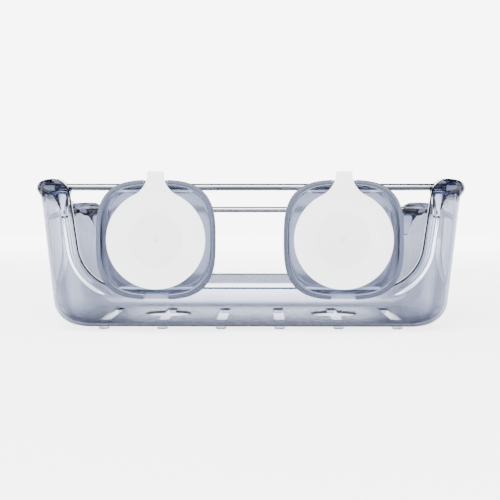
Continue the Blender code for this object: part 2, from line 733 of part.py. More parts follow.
def make_cup(hand, x):
    """Soft cup with a flat sealing lip, a hollow face and a boss grown round the stem's flange."""
    seal = CUP_RADIUS - CUP_SEAL_WIDTH
    pocket_radius, pocket_front, pocket_back = pocket()
    boss_back = CUP_HOLLOW + CUP_BOSS_HEIGHT
    dish = [(seal * share, CUP_HOLLOW * (1 - share ** DISH_POWER)) for share in DISH_RADIUS_SHARES]
    profile = [(radius, -depth) for radius, depth in dish]
    profile += [(seal, 0), (CUP_RADIUS, 0), (CUP_RADIUS, -CUP_EDGE)]
    profile += [(CUP_BOSS_RADIUS, -CUP_ROOT - CUP_HOLLOW), (CUP_BOSS_RADIUS - CUP_EDGE, -boss_back)]
    profile += [(bore_radius, -boss_back), (bore_radius, -pocket_back)]
    profile += [(pocket_radius, -pocket_back), (pocket_radius, -pocket_front), (0, -pocket_front)]
    cup = turned(f"{hand}_suction_cup", profile, white_rubber, (x, wall_y, unit_z))
    centre_x = TAB_HALF_WIDTH + TAB_FLARE_RADIUS
    centre_z = math.sqrt((CUP_RADIUS + TAB_FLARE_RADIUS) ** 2 - centre_x ** 2)
    touch = math.atan2(-centre_z, -centre_x) + 2 * math.pi
    flare = arc((centre_x, centre_z), TAB_FLARE_RADIUS, touch, math.pi, 7)
    tip = arc((TAB_HALF_WIDTH - TAB_CORNER, tab_reach - TAB_CORNER), TAB_CORNER, 0, math.pi / 2, 3)
    side = [(flare[0][0], CUP_RADIUS * TAB_ROOT_SHARE)] + flare + tip
    outline = side + [(-u, v) for u, v in reversed(side)]
    outline = [(x + u, unit_z + v) for u, v in outline]
    front = wall_y - TAB_SET_BACK
    tab = add_object(f"{hand}_tab", prism(outline, front - TAB_THICKNESS, front, along_y), None, cutters)
    combine(cup, tab, "UNION")
    return cup


def make_stem(hand, x):
    """Rigid stem: a flange inside the cup, a round shaft, and a flat eye round the pin."""
    _, pocket_front, _ = pocket()
    flange_front = -pocket_front - CLEARANCE
    flange_back = flange_front - STEM_FLANGE
    shaft_end = cam_plate_front_y - wall_y
    profile = [(0, flange_front), (STEM_FLANGE_RADIUS, flange_front), (STEM_FLANGE_RADIUS, flange_back)]
    profile += [(STEM_RADIUS, flange_back), (STEM_RADIUS, shaft_end), (0, shaft_end)]
    stem = turned(f"{hand}_stem", profile, stem_plastic, (x, wall_y, unit_z), steps=ROUND_STEPS)
    eye = arc((pin_y, unit_z), EYE_RADIUS, math.pi / 2, 3 * math.pi / 2, 10)
    root = wall_y + shaft_end + STEM_RADIUS
    eye_root = STEM_RADIUS * EYE_ROOT_SHARE
    neck = pin_y + EYE_NECK
    eye = [(root, unit_z + eye_root), (neck, unit_z + eye_root)] + eye
    eye += [(neck, unit_z - eye_root), (root, unit_z - eye_root)]
    bm = prism(eye, x - EYE_HALF_WIDTH, x + EYE_HALF_WIDTH, along_x)
    combine(stem, add_object(f"{hand}_eye", bm, None, cutters), "UNION")
    reach = EYE_HALF_WIDTH + OVERRUN
    bm = cylinder(PIN_RADIUS + CLEARANCE, x - reach, x + reach, "X", PIN_STEPS, (0, pin_y, unit_z))
    combine(stem, add_object(f"{hand}_eye_bore", bm, None, cutters), "DIFFERENCE")
    return stem


def cam_outline():
    """Side view of the lever round its pin (y towards the wall, z up), locked with its arm down.

    The cam's reach to the plate falls evenly with the lever's turn, so its flank is the involute
    of a circle whose radius is that fall for each radian.
    """
    fall = (CAM_LOCKED - CAM_FREE) / LEVER_TURN
    steps = 9
    points = []
    for i in range(steps + 1):
        turn = LEVER_TURN * i / steps
        reach = CAM_LOCKED - fall * turn
        y = reach * math.cos(turn) + fall * math.sin(turn)
        z = reach * math.sin(turn) - fall * math.cos(turn)
        points.append((y, z))
    points += arc((0, 0), CAM_FREE, LEVER_TURN, math.pi, 7)
    arm_front = ARM_BACK - ARM_THICKNESS
    points += [(-CAM_FREE * out, -CAM_FREE * down) for out, down in CAM_HEEL_SHARES]
    points.append((arm_front, -arm_shoulder))
    points += finger_outline(arm_front, FINGER_FRONT_SHARES)
    points += finger_outline(ARM_BACK, FINGER_BACK_SHARES)
    return points


def finger_outline(start, shares):
    """Points along one face of the finger end: (share of its lift, share of its length)."""
    tip = -arm_length
    return [(start - FINGER_LIFT * lift, tip + FINGER_LENGTH * rise) for lift, rise in shares]


def make_lever(hand, x):
    half = LEVER_WIDTH / 2
    outline = [(pin_y + y, unit_z + z) for y, z in cam_outline()]
    bm = prism(outline, x - half, x + half, along_x)
    lever = add_object(f"{hand}_lever", bm, lever_plastic, origin=(x, pin_y, unit_z))
    bevel = lever.modifiers.new("edges", "BEVEL")
    bevel.width = LEVER_EDGE
    bevel.segments = 1
    bevel.limit_method = "ANGLE"
    bevel.angle_limit = math.radians(60)
    gap = EYE_HALF_WIDTH + CLEARANCE
    low = (x - gap, pin_y - CAM_LOCKED * 2, unit_z - EYE_RADIUS - CAM_LOCKED / 2)
    high = (x + gap, pin_y + CAM_LOCKED * 2, unit_z + CAM_LOCKED * 2)
    combine(lever, add_object(f"{hand}_lever_gap", box(low, high), None, cutters), "DIFFERENCE")
    reach = half + OVERRUN
    bm = cylinder(PIN_RADIUS + CLEARANCE, x - reach, x + reach, "X", PIN_STEPS, (0, pin_y, unit_z))
    combine(lever, add_object(f"{hand}_lever_bore", bm, None, cutters), "DIFFERENCE")
    smooth(lever)
    return lever


def make_pin(hand, x):
    half = LEVER_WIDTH / 2 - PIN_SHY
    bm = cylinder(PIN_RADIUS, x - half, x + half, "X", PIN_STEPS, (0, pin_y, unit_z))
    pin = add_object(f"{hand}_lever_pin", bm, pin_steel, origin=(x, pin_y, unit_z))
    smooth(pin)
    return pin


make_basket()
make_rail("rear_rail", rear_rail)
make_rail("front_rail", front_rail)
for hand, offset in (("left", -unit_offset), ("right", unit_offset)):
    make_housing(hand, offset)
    make_cam_plate(hand, offset)
    make_cup(hand, offset)
    make_stem(hand, offset)
    make_lever(hand, offset)
    make_pin(hand, offset)
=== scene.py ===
import json
import math

import bmesh
import bpy
import numpy as np
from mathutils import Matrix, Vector

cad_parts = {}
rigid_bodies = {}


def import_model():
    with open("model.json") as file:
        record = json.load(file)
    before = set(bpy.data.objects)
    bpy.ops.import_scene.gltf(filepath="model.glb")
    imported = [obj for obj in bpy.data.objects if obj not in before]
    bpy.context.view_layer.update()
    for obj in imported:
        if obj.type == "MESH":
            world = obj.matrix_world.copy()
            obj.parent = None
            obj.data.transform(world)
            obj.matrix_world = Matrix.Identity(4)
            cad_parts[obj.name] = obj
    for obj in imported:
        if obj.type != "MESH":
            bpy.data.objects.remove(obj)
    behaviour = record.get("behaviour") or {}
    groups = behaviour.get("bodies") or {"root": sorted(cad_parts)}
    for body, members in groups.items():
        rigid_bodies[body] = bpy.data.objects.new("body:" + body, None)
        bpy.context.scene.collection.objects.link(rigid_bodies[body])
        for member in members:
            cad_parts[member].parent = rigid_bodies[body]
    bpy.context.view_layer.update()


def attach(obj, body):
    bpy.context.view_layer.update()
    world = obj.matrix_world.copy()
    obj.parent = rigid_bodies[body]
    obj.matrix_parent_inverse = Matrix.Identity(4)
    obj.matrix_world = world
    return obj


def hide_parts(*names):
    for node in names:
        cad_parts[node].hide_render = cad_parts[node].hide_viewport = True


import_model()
print("suction basket: frame loaded")

# Sizes are millimetres in the frame of the solids, and turn to metres where a mesh is made.

millimetre = 0.001
meshing = {
    "weld": 4e-7,  # metres between points that become one
    "degenerate": 1e-7,
    "pieceSharp": 35,  # degrees between faces from which an edge stays sharp
    "washerSharp": 38, "joinedSharp": 32,
}


def putIn(name, data):
    thing = bpy.data.objects.new(name, data)
    bpy.context.scene.collection.objects.link(thing)
    return thing


def smooth(mesh, sharpAngle):
    mesh.shade_smooth()
    mesh.set_sharp_from_angle(angle=math.radians(sharpAngle))


def makeObject(name, bm, finish, sharpAngle=meshing["pieceSharp"]):
    mesh = bpy.data.meshes.new(name)
    bm.to_mesh(mesh)
    bm.free()
    if finish:
        mesh.materials.append(finish)
    smooth(mesh, sharpAngle)
    return putIn(name, mesh)


def addPart(bm, points, depth, edges=(), faces=()):
    # adds points with their depth of painted shade and painted light, and the edges or faces between them, to
    # a mesh that is being built
    part = bpy.data.meshes.new("part")
    part.from_pydata((points * millimetre).tolist(), edges, faces)
    tint = part.attributes.new("paintedShadeAndLight", "FLOAT", "POINT")
    tint.data.foreach_set("value", np.broadcast_to(depth, len(points)).astype(np.float32))
    bm.from_mesh(part)
    bpy.data.meshes.remove(part)


def fillLoops(bm, loops):
    # flat face between an outer loop and the holes inside it
    flat = bmesh.new()
    for loop in loops:
        index = np.arange(len(loop))
        addPart(flat, loop, 0.0, edges=np.stack([np.roll(index, 1), index], axis=-1).tolist())
    bmesh.ops.triangle_fill(flat, edges=flat.edges[:], use_beauty=True, use_dissolve=False)
    part = bpy.data.meshes.new("part")
    flat.to_mesh(part)
    flat.free()
    bm.from_mesh(part)
    bpy.data.meshes.remove(part)


def gridMesh(grids, loopFills=()):
    # one closed body from grids of points (rows, columns, 3) with depths of painted shade and painted light;
    # last columns join the first
    bm = bmesh.new()
    for grid, depth in grids:
        rows, columns = grid.shape[:2]
        index = np.arange(rows * columns).reshape(rows, columns)
        index = np.hstack([index, index[:, :1]])
        corners = (index[:-1, :-1], index[:-1, 1:], index[1:, 1:], index[1:, :-1])
        faces = np.stack(corners, axis=-1).reshape(-1, 4)
        depth = np.broadcast_to(depth, (rows, columns)).ravel()
        addPart(bm, grid.reshape(-1, 3), depth, faces=faces.tolist())
    for loops in loopFills:
        fillLoops(bm, loops)
    bmesh.ops.remove_doubles(bm, verts=bm.verts, dist=meshing["weld"])
    bmesh.ops.dissolve_degenerate(bm, edges=bm.edges, dist=meshing["degenerate"])
    bmesh.ops.recalc_face_normals(bm, faces=bm.faces)
    return bm


def carve(thing, joins=(), cuts=()):
    # joins tools to a body, then cuts others out, one after the other, and removes each
    for tool in (*joins, *cuts):
        step = thing.modifiers.new("step", "BOOLEAN")
        step.operation = "UNION" if tool in joins else "DIFFERENCE"
        step.solver = "MANIFOLD"
        step.object = tool
        graph = bpy.context.evaluated_depsgraph_get()
        result = bpy.data.meshes.new_from_object(thing.evaluated_get(graph))
        thing.modifiers.remove(step)
        if len(result.vertices):
            thing.data = result
        else:
            print("a join came out empty:", tool.name)
        bpy.data.objects.remove(tool, do_unlink=True)
    smooth(thing.data, meshing["joinedSharp"])
    return thing


def settle(piece, body, node):
    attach(piece, body)
    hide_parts(node)


def slope(degrees):
    return math.tan(math.radians(degrees))


def unitPart(value):
    return np.clip(value, 0, 1)


def smoothStep(value, low, high):
    t = unitPart((value - low) / (high - low))
    return t * t * (3 - 2 * t)


def plateau(value, start, full, fade, end):
    # 0 outside start to end, 1 between full and fade, smooth between
    return smoothStep(value, start, full) * (1 - smoothStep(value, fade, end))


def unit(vectors):
    return vectors / np.maximum(np.linalg.norm(vectors, axis=-1, keepdims=True), 1e-12)


def arcPoints(centre, radius, start, end, steps):
    # points of a circular arc in degrees, both ends included
    angle = np.radians(np.linspace(start, end, steps + 1))
    return np.stack([centre[0] + radius * np.cos(angle), centre[1] + radius * np.sin(angle)], axis=-1)


def bend(start, corner, end, t):
    # curve of the second degree from start to end, drawn towards the corner
    return (1 - t) ** 2 * start + 2 * t * (1 - t) * corner + t ** 2 * end


def roundCorners(outline, radius, steps=4, mostOfSide=0.45):
    # closed flat outline with each corner replaced by a curve of the second degree that starts radius away
    before = np.roll(outline, 1, axis=0) - outline
    after = np.roll(outline, -1, axis=0) - outline
    lengthBefore = np.linalg.norm(before, axis=1, keepdims=True)
    lengthAfter = np.linalg.norm(after, axis=1, keepdims=True)
    start = outline + before / lengthBefore * np.minimum(radius, lengthBefore * mostOfSide)
    end = outline + after / lengthAfter * np.minimum(radius, lengthAfter * mostOfSide)
    t = np.linspace(0, 1, steps + 1)[None, :, None]
    return bend(start[:, None], outline[:, None], end[:, None], t).reshape(-1, 2)


def outlineNormals(outline):
    # outward direction at each point of a closed flat outline that runs anticlockwise
    along = unit(np.roll(outline, -1, axis=0) - np.roll(outline, 1, axis=0))
    return np.stack([along[:, 1], -along[:, 0]], axis=-1)


def onAxis(axis, u, v, w):
    # places flat coordinates u and v square to an axis, and w along it
    return np.stack({"x": (w, u, v), "y": (u, w, v), "z": (u, v, w)}[axis], axis=-1)


def flatRow(axis, points, at):
    return onAxis(axis, *points.T, np.full(len(points), at))


def rimRows(edge, steps=4):
    # rows of a rounded rim over a quarter turn: (edge * (1 - sin t), edge * (1 - cos t))
    turn = np.radians(np.linspace(0, 90, steps + 1))
    return list(zip(edge * (1 - np.sin(turn)), edge * (1 - np.cos(turn))))


def rimmedWall(outline, outward, span, axis, edge, steps=4):
    # flat outline drawn out over a span, its first and last rows turned outwards over rounded rims
    rims = rimRows(edge, steps)
    rows = [(out, span[0] + step) for out, step in rims] + [(out, span[1] - step) for out, step in rims[::-1]]
    return np.stack([flatRow(axis, outline + outward * out, at) for out, at in rows])


def capped(name, grid, finish=None, depth=0.0):
    # body of one grid whose first and last rows are closed by flat faces
    return makeObject(name, gridMesh([(grid, depth)], [[grid[0]], [grid[-1]]]), finish)


def extruded(name, outline, span, axis, finish=None, edge=0.3, edgeSteps=3, depth=0.0):
    # solid bar of a flat outline, its rims rounded inwards
    ahead = np.roll(outline, -1, axis=0)
    if np.sum(outline[:, 0] * ahead[:, 1] - outline[:, 1] * ahead[:, 0]) < 0:
        outline = outline[::-1]
    grid = rimmedWall(outline, -outlineNormals(outline), span, axis, edge, edgeSteps)
    return capped(name, grid, finish, depth)


def roundedBox(name, low, high, edge=0.3, depth=0.0, rimShare=0.8):
    # box with rounded long edges: a rounded rectangle drawn out along x
    (x0, y0, z0), (x1, y1, z1) = low, high
    corners = np.array([(y0, z0), (y1, z0), (y1, z1), (y0, z1)], dtype=float)
    return extruded(name, roundCorners(corners, edge), (x0, x1), "x", None, edge * rimShare, depth=depth)


def turned(name, profile, centre, axis, finish=None, steps=96, sharpAngle=meshing["pieceSharp"]):
    # body of revolution: profile rows (radius, distance along the axis) swept round the axis
    profile = np.array(profile, dtype=float)
    angle = np.linspace(0, 2 * math.pi, steps, endpoint=False)
    radius, along = profile[:, :1], np.repeat(profile[:, 1:], steps, axis=1)
    grid = onAxis(axis, radius * np.cos(angle), radius * np.sin(angle), along) + np.array(centre)
    return makeObject(name, gridMesh([(grid, 0.0)]), finish, sharpAngle)


def steelBar(name, radius, reach, edge, edgeSteps, centre, finish, steps=64):
    # round bar along x, its ends rounded by an arc, which is a chamfer where it has one step
    ends = arcPoints((radius - edge, reach - edge), edge, 0, 90, edgeSteps)
    profile = [(0, -reach), *(ends * np.array([1, -1]))[::-1], *ends, (0, reach)]
    return turned(name, profile, centre, "x", finish, steps)


def boreTool(name, radius, reach, centre, finish=None, steps=48):
    # cylinder along x that cuts a bore
    profile = [(0, -reach), (radius, -reach), (radius, reach), (0, reach)]
    return turned(name, profile, centre, "x", finish, steps)


# Finishes


class Signal:
    # a shader socket that can stand in sums, products and powers
    def __init__(self, tree, socket):
        self.tree = tree
        self.socket = socket

    def __abs__(self):
        return self.tree.node("ShaderNodeMath", {"operation": "ABSOLUTE"}, {0: self})


def overload(name, operation):
    # gives signals an operator and its reflected form, each of which adds a Math node
    def join(tree, first, second):
        return tree.node("ShaderNodeMath", {"operation": operation}, {0: first, 1: second})

    setattr(Signal, f"__{name}__", lambda signal, other: join(signal.tree, signal, other))
    setattr(Signal, f"__r{name}__", lambda signal, other: join(signal.tree, other, signal))


for name, operation in (("add", "ADD"), ("sub", "SUBTRACT"), ("mul", "MULTIPLY"), ("pow", "POWER")):
    overload(name, operation)


class Tree:
    # a node tree with one way to add any node and to feed any socket
    def __init__(self, tree):
        self.tree = tree

    def feed(self, socket, value):
        if isinstance(value, Signal):
            self.tree.links.new(value.socket, socket)
        else:
            socket.default_value = value

    def node(self, kind, settings=None, inputs=None, output=0):
        made = self.tree.nodes.new(kind)
        for key, value in (settings or {}).items():
            setattr(made, key, value)
        for key, value in (inputs or {}).items():
            self.feed(made.inputs[key], value)
        return Signal(self, made.outputs[output])

    def ease(self, value, low, high):
        # 0 below low, 1 above high, smooth between
        limits = {"Value": value, "From Min": low, "From Max": high}
        return self.node("ShaderNodeMapRange", {"interpolation_type": "SMOOTHSTEP"}, limits)

    def blend(self, factor, first, second):
        return self.node("ShaderNodeMix", {"data_type": "RGBA"}, {0: factor, 6: first, 7: second}, output=2)

    def axes(self, point):
        # the x, y and z of a point
        split = self.node("ShaderNodeSeparateXYZ", {}, {0: point})
        return [Signal(self, socket) for socket in split.socket.node.outputs]


class Finish(Tree):
    # a material with its Principled shader
    def __init__(self, name):
        self.material = bpy.data.materials.new(name)
        self.material.use_nodes = True
        super().__init__(self.material.node_tree)
        self.shader = self.tree.nodes["Principled BSDF"]
        self.output = self.tree.nodes["Material Output"]

    def shade(self, **values):
        for key, value in values.items():
            self.feed(self.shader.inputs[key.replace("_", " ")], value)

    def place(self, scale=(1, 1, 1)):
        point = self.node("ShaderNodeTexCoord", output=3)
        return self.node("ShaderNodeMapping", {}, {"Vector": point, "Scale": scale})

    def noise(self, scale, stretch=(1, 1, 1), detail=3.0, roughness=0.5):
        values = {"Vector": self.place(stretch), "Scale": scale, "Detail": detail, "Roughness": roughness}
        return self.node("ShaderNodeTexNoise", {}, values)

    def bump(self, height, strength, distance):
        return self.node("ShaderNodeBump", {}, {"Height": height, "Strength": strength, "Distance": distance})


clearSizes = {
    "flowStretch": (1, 1, 0.45), "flowDetail": 2.0, "hazeDetail": 4.0, "refraction": 1.49,
    "darkFrom": 0.82,  # depth of painted shade from which an edge turns metallic, a painted dark line that no longer lets light through
}


def clearFinish(name, sizes):
    # clear moulded plastic: refraction with a tint that deepens with the path through it, and slow flow
    # waves; a point attribute paints light and shade over it: below zero the colour turns pale (painted
    # light), above zero dark (painted shade), and the darkest painted edges turn metallic
    c = clearSizes
    finish = Finish(name)
    flow = finish.noise(sizes["flowScale"], c["flowStretch"], c["flowDetail"])
    haze = finish.noise(sizes["hazeScale"], detail=c["hazeDetail"])
    tint = finish.blend(haze, sizes["tintLow"], sizes["tintHigh"])
    depth = finish.node("ShaderNodeAttribute", {"attribute_name": "paintedShadeAndLight"}, output=2)
    # painted light: below zero the colour turns towards a pale colour
    tint = finish.blend(finish.ease(depth, 0, -1), tint, sizes["paintedLightColour"])
    # painted shade: above zero the colour turns towards a dark one
    tint = finish.blend(finish.ease(depth, 0, 1), tint, sizes["paintedEdgeShade"])
    roughness = sizes["roughness"] + haze * sizes["hazeAmount"]
    if "texturedUpTo" in sizes:
        # a fine moulded texture clouds the floor and fades out above it
        height = finish.axes(finish.place())[2]
        roughness = roughness + (1 - finish.ease(height, *sizes["texturedUpTo"])) * sizes["textureHaze"]
    finish.shade(
        Base_Color=tint,
        Roughness=roughness,
        # painted shade: the darkest painted edges turn metallic and show as dark lines
        Metallic=finish.ease(depth, c["darkFrom"], 1),
        IOR=c["refraction"],
        Transmission_Weight=sizes["clearness"],
        Normal=finish.bump(flow, sizes["flowStrength"], sizes["flowDepth"]),
    )
    volume = {"Color": sizes["depthColour"], "Density": sizes["depthDensity"]}
    absorb = finish.node("ShaderNodeVolumeAbsorption", {}, volume)
    finish.feed(finish.output.inputs["Volume"], absorb)
    return finish.material


basketPlastic = clearFinish("basket_plastic", {
    "flowScale": 30.0, "flowStrength": 0.10, "flowDepth": 0.0006, "hazeScale": 160.0,
    "hazeAmount": 0.03, "roughness": 0.02, "texturedUpTo": (0.0057, 0.0076), "textureHaze": 0.22,
    "clearness": 1.0, "paintedEdgeShade": (0.0015, 0.0018, 0.006, 1), "paintedLightColour": (0.92, 0.95, 1.0, 1),
    "tintLow": (0.155, 0.166, 0.205, 1), "tintHigh": (0.175, 0.187, 0.230, 1),
    "depthColour": (0.40, 0.43, 0.62, 1), "depthDensity": 120.0,
})
housingPlastic = clearFinish("housing_plastic", {
    "flowScale": 60.0, "flowStrength": 0.20, "flowDepth": 0.0004, "hazeScale": 200.0,
    "hazeAmount": 0.04, "roughness": 0.10, "clearness": 0.5, "paintedEdgeShade": (0.012, 0.016, 0.035, 1),
    "paintedLightColour": (0.72, 0.77, 0.86, 1), "tintLow": (0.31, 0.35, 0.48, 1),
    "tintHigh": (0.34, 0.38, 0.51, 1), "depthColour": (0.50, 0.53, 0.72, 1), "depthDensity": 50.0,
})
leverPlastic = clearFinish("lever_plastic", {
    "flowScale": 80.0, "flowStrength": 0.20, "flowDepth": 0.0003, "hazeScale": 240.0,
    "hazeAmount": 0.04, "roughness": 0.05, "clearness": 1.0, "paintedEdgeShade": (0.02, 0.03, 0.05, 1),
    "paintedLightColour": (0.8, 0.85, 0.9, 1), "tintLow": (0.62, 0.66, 0.71, 1),
    "tintHigh": (0.66, 0.70, 0.75, 1), "depthColour": (0.60, 0.68, 0.80, 1), "depthDensity": 60.0,
})

rubberSizes = {
    "cloudScale": 55.0, "grainScale": 2600.0,
    "colours": ((0.80, 0.80, 0.80, 1), (0.84, 0.84, 0.845, 1)), "roughness": 0.42,
    "cloudHaze": 0.14,
    "axis": (0.0633, 0.0657),  # metres: the discs' middles left or right, and up
    "middleEdge": (0.0178, 0.0184), "middleShare": 0.6, "middleColour": (0.70, 0.705, 0.715, 1),
    "gateInner": (0.0007, 0.0010), "gateOuter": (0.0016, 0.0019),
    "gateColour": (0.52, 0.525, 0.54, 1), "specular": 0.35, "softness": 0.08, "softDepth": 0.001,
    "grainBump": (0.12, 0.00008),
}


def rubberFinish():
    # soft white rubber; the middle of each disc is a little greyer, with a small ring about its axis
    r = rubberSizes
    finish = Finish("white_rubber")
    cloud = finish.noise(r["cloudScale"])
    grain = finish.noise(r["grainScale"], detail=2.0)
    across, _, up = finish.axes(finish.place())
    radius = ((abs(across) - r["axis"][0]) ** 2 + (up - r["axis"][1]) ** 2) ** 0.5
    middle = 1 - finish.ease(radius, *r["middleEdge"])
    gate = finish.ease(radius, *r["gateInner"]) * (1 - finish.ease(radius, *r["gateOuter"]))
    colour = finish.blend(cloud, *r["colours"])
    colour = finish.blend(middle * r["middleShare"], colour, r["middleColour"])
    colour = finish.blend(gate * r["middleShare"], colour, r["gateColour"])
    finish.shade(
        Base_Color=colour,
        Roughness=r["roughness"] + cloud * r["cloudHaze"],
        Specular_IOR_Level=r["specular"],
        Subsurface_Weight=r["softness"],
        Subsurface_Scale=r["softDepth"],
        Normal=finish.bump(grain, *r["grainBump"]),
    )
    return finish.material


stemSizes = {
    "cloudScale": 90.0, "grainScale": 1800.0,
    "colours": ((0.70, 0.71, 0.73, 1), (0.76, 0.77, 0.79, 1)), "roughness": 0.34, "cloudHaze": 0.10,
    "grainBump": (0.10, 0.00006),
}


def stemFinish():
    p = stemSizes
    finish = Finish("stem_plastic")
    cloud = finish.noise(p["cloudScale"])
    grain = finish.noise(p["grainScale"], detail=2.0)
    finish.shade(
        Base_Color=finish.blend(cloud, *p["colours"]),
        Roughness=p["roughness"] + cloud * p["cloudHaze"],
        Normal=finish.bump(grain, *p["grainBump"]),
    )
    return finish.material


steelSizes = {
    "lineScale": 900.0, "lineRoughness": 0.6, "cloudScale": 40.0, "darker": 0.86, "lineShare": 0.6,
    "lineHaze": 0.10, "cloudHaze": 0.05, "lineBump": (0.15, 0.00003),
}


def steelFinish(name, colour, roughness, stretch):
    # drawn or turned steel: fine lines along the drawing direction, and a faint slower variation
    t = steelSizes
    finish = Finish(name)
    lines = finish.noise(t["lineScale"], stretch, roughness=t["lineRoughness"])
    cloud = finish.noise(t["cloudScale"])
    darker = tuple(c * t["darker"] for c in colour) + (1,)
    finish.shade(
        Base_Color=finish.blend(lines * t["lineShare"] + cloud * (1 - t["lineShare"]), darker, colour + (1,)),
        Metallic=1.0,
        Roughness=roughness + lines * t["lineHaze"] + cloud * t["cloudHaze"],
        Normal=finish.bump(lines, *t["lineBump"]),
    )
    return finish.material


rubber = rubberFinish()
stemPlastic = stemFinish()
railSteel = steelFinish("rail_steel", (0.42, 0.425, 0.44), 0.04, (0.02, 1, 1))
pinSteel = steelFinish("pin_steel", (0.62, 0.63, 0.65), 0.24, (1, 1, 0.2))
print("finishes made")

# Basket

basketSizes = {
    "rimHalfLength": 149.9, "rimHalfDepth": 72.5, "rearRim": 104.4, "frontRim": 88.4,
    "lowWall": 28.8, "wall": 2.4, "endDraft": 5.9, "wallDraft": 1.2, "cornerRadius": 18.0,
    "floorCornerRadius": 11.0, "endFillet": 17.0, "wallFillet": 9.0, "lipHeight": 10.0,
    "lipFlare": 2.6, "lipBelly": 0.62, "lipReturn": 0.5, "lipTop": 1.1,
    "endDrop": 2.0, "dropReach": (1.2, 2.0),
    "windowHalfWidth": 120.0, "windowLean": 8.0, "windowCorner": 32.0, "shoulder": 11.8,
    "shoulderInset": 0.6, "edgeRound": 0.45, "stripWidth": 9.6, "fanOut": 0.42, "beadInset": 6.0,
    "beadHeight": 0.95, "beadHalfWidth": 2.3,
    "beadStart": (5, 16),  # columns past the window's corner
    "beadEnd": (-27.2, -18.2),  # from the rim
    "basketY": -9.1176, "floorZ": 3.1,
}
# painted shade and painted light on the basket: above zero darkens the plastic (edges, lip, slot walls, feet,
# sockets, a line round the bottom), below zero lightens it (strip under the bead, walls, low walls, a band on
# the rear wall near its corners)
basketPaintedShadeAndLight = {
    "edge": (0.6, 1.5),  # distance from the free edge over which its painted dark line of shade fades
    "lip": 0.4, "lipReach": (3.5, 9.0), "lipStart": 8, "strip": 0.75,
    "stripReach": (1.6, 2.8, 7.0, 8.6), "wall": 0.40, "wallRows": (2, 12), "low": 0.9,
    "lowColumns": (-4, 26), "band": 0.8, "bandReach": (0.82, 0.92, 1.0, 1.25), "front": 0.2,
    "frontEdge": (7.0, 9.6), "frontCorner": (1.7, 2.4), "plainBelow": 0.01,
    "bottomRows": (0, 0.7, 0.7, 0.4), "bottomShares": (0.1, 0.8), "freeEdge": 0.9,
    "slot": (0, 1, 1, 1, 1, 1, 1, 1, 1, 0), "foot": (0, 0.7, 0.4, 0, -0.5, -0.5, 0, 0.5, 0.8, 0.8),
    "socket": 0.5,
}
basketSteps = {
    "low": 30, "corner": 38, "side": 22, "shoulder": 22, "lip": 18, "fillet": 12, "wall": 14,
    "strip": 18,
}


def rimAt(y):
    # rim height over the floor, falling evenly from the rear to the front
    s = basketSizes
    return s["frontRim"] + (s["rearRim"] - s["frontRim"]) * (y + s["rimHalfDepth"]) / (2 * s["rimHalfDepth"])


def wallHalf(height):
    # outer half depth of the basket at a height over the floor, by the long walls' draft
    s = basketSizes
    return s["rimHalfDepth"] - (s["rearRim"] - height) * slope(s["wallDraft"])


def outlineSizes(height, share):
    # corner centre and corner radius of the outer outline; share is how far the bottom fillet has turned in
    s = basketSizes
    halfLength = s["rimHalfLength"] - (s["rearRim"] - height) * slope(s["endDraft"])
    radius = s["cornerRadius"] + (s["floorCornerRadius"] - s["cornerRadius"]) * share
    centreX = halfLength - s["endFillet"] * share - radius
    centreY = wallHalf(height) - s["wallFillet"] * share - radius
    return centreX, centreY, radius


def wallPoint(w, height, share, side, swell=1.0):
    # quarter of the outer surface: w runs to 1 along the wall, to 2 round the corner and to 3 along the end;
    # the lip swells to its belly, curls back to the rim, and sinks a little towards the end wall
    s = basketSizes
    centreX, centreY, radius = outlineSizes(height, share)
    angle = unitPart(w - 1) * math.pi / 2
    x = centreX * unitPart(w) + radius * np.sin(angle)
    y = centreY * unitPart(3 - w) + radius * np.cos(angle)
    drop = s["endDrop"] * smoothStep(w, *s["dropReach"])
    flare = np.clip((height - rimAt(side * y) + drop + s["lipHeight"]) / s["lipHeight"], 0, s["lipTop"])
    curl = unitPart((flare - s["lipBelly"]) / (1 - s["lipBelly"])) ** 2
    out = swell * s["lipFlare"] * (smoothStep(flare, 0, s["lipBelly"]) - s["lipReturn"] * curl)
    return np.stack([x + out * np.sin(angle), side * (y + out * np.cos(angle)), height], axis=-1)


def alongWall(run, height):
    # distance along the unrolled quarter turned into w at a height over the bottom fillet
    centreX, centreY, radius = outlineSizes(height, 0)
    corner = radius * math.pi / 2
    second = 1 + (run - centreX) / corner
    third = 2 + (run - centreX - corner) / centreY
    return np.where(run < centreX, run / centreX, np.where(second < 2, second, third))


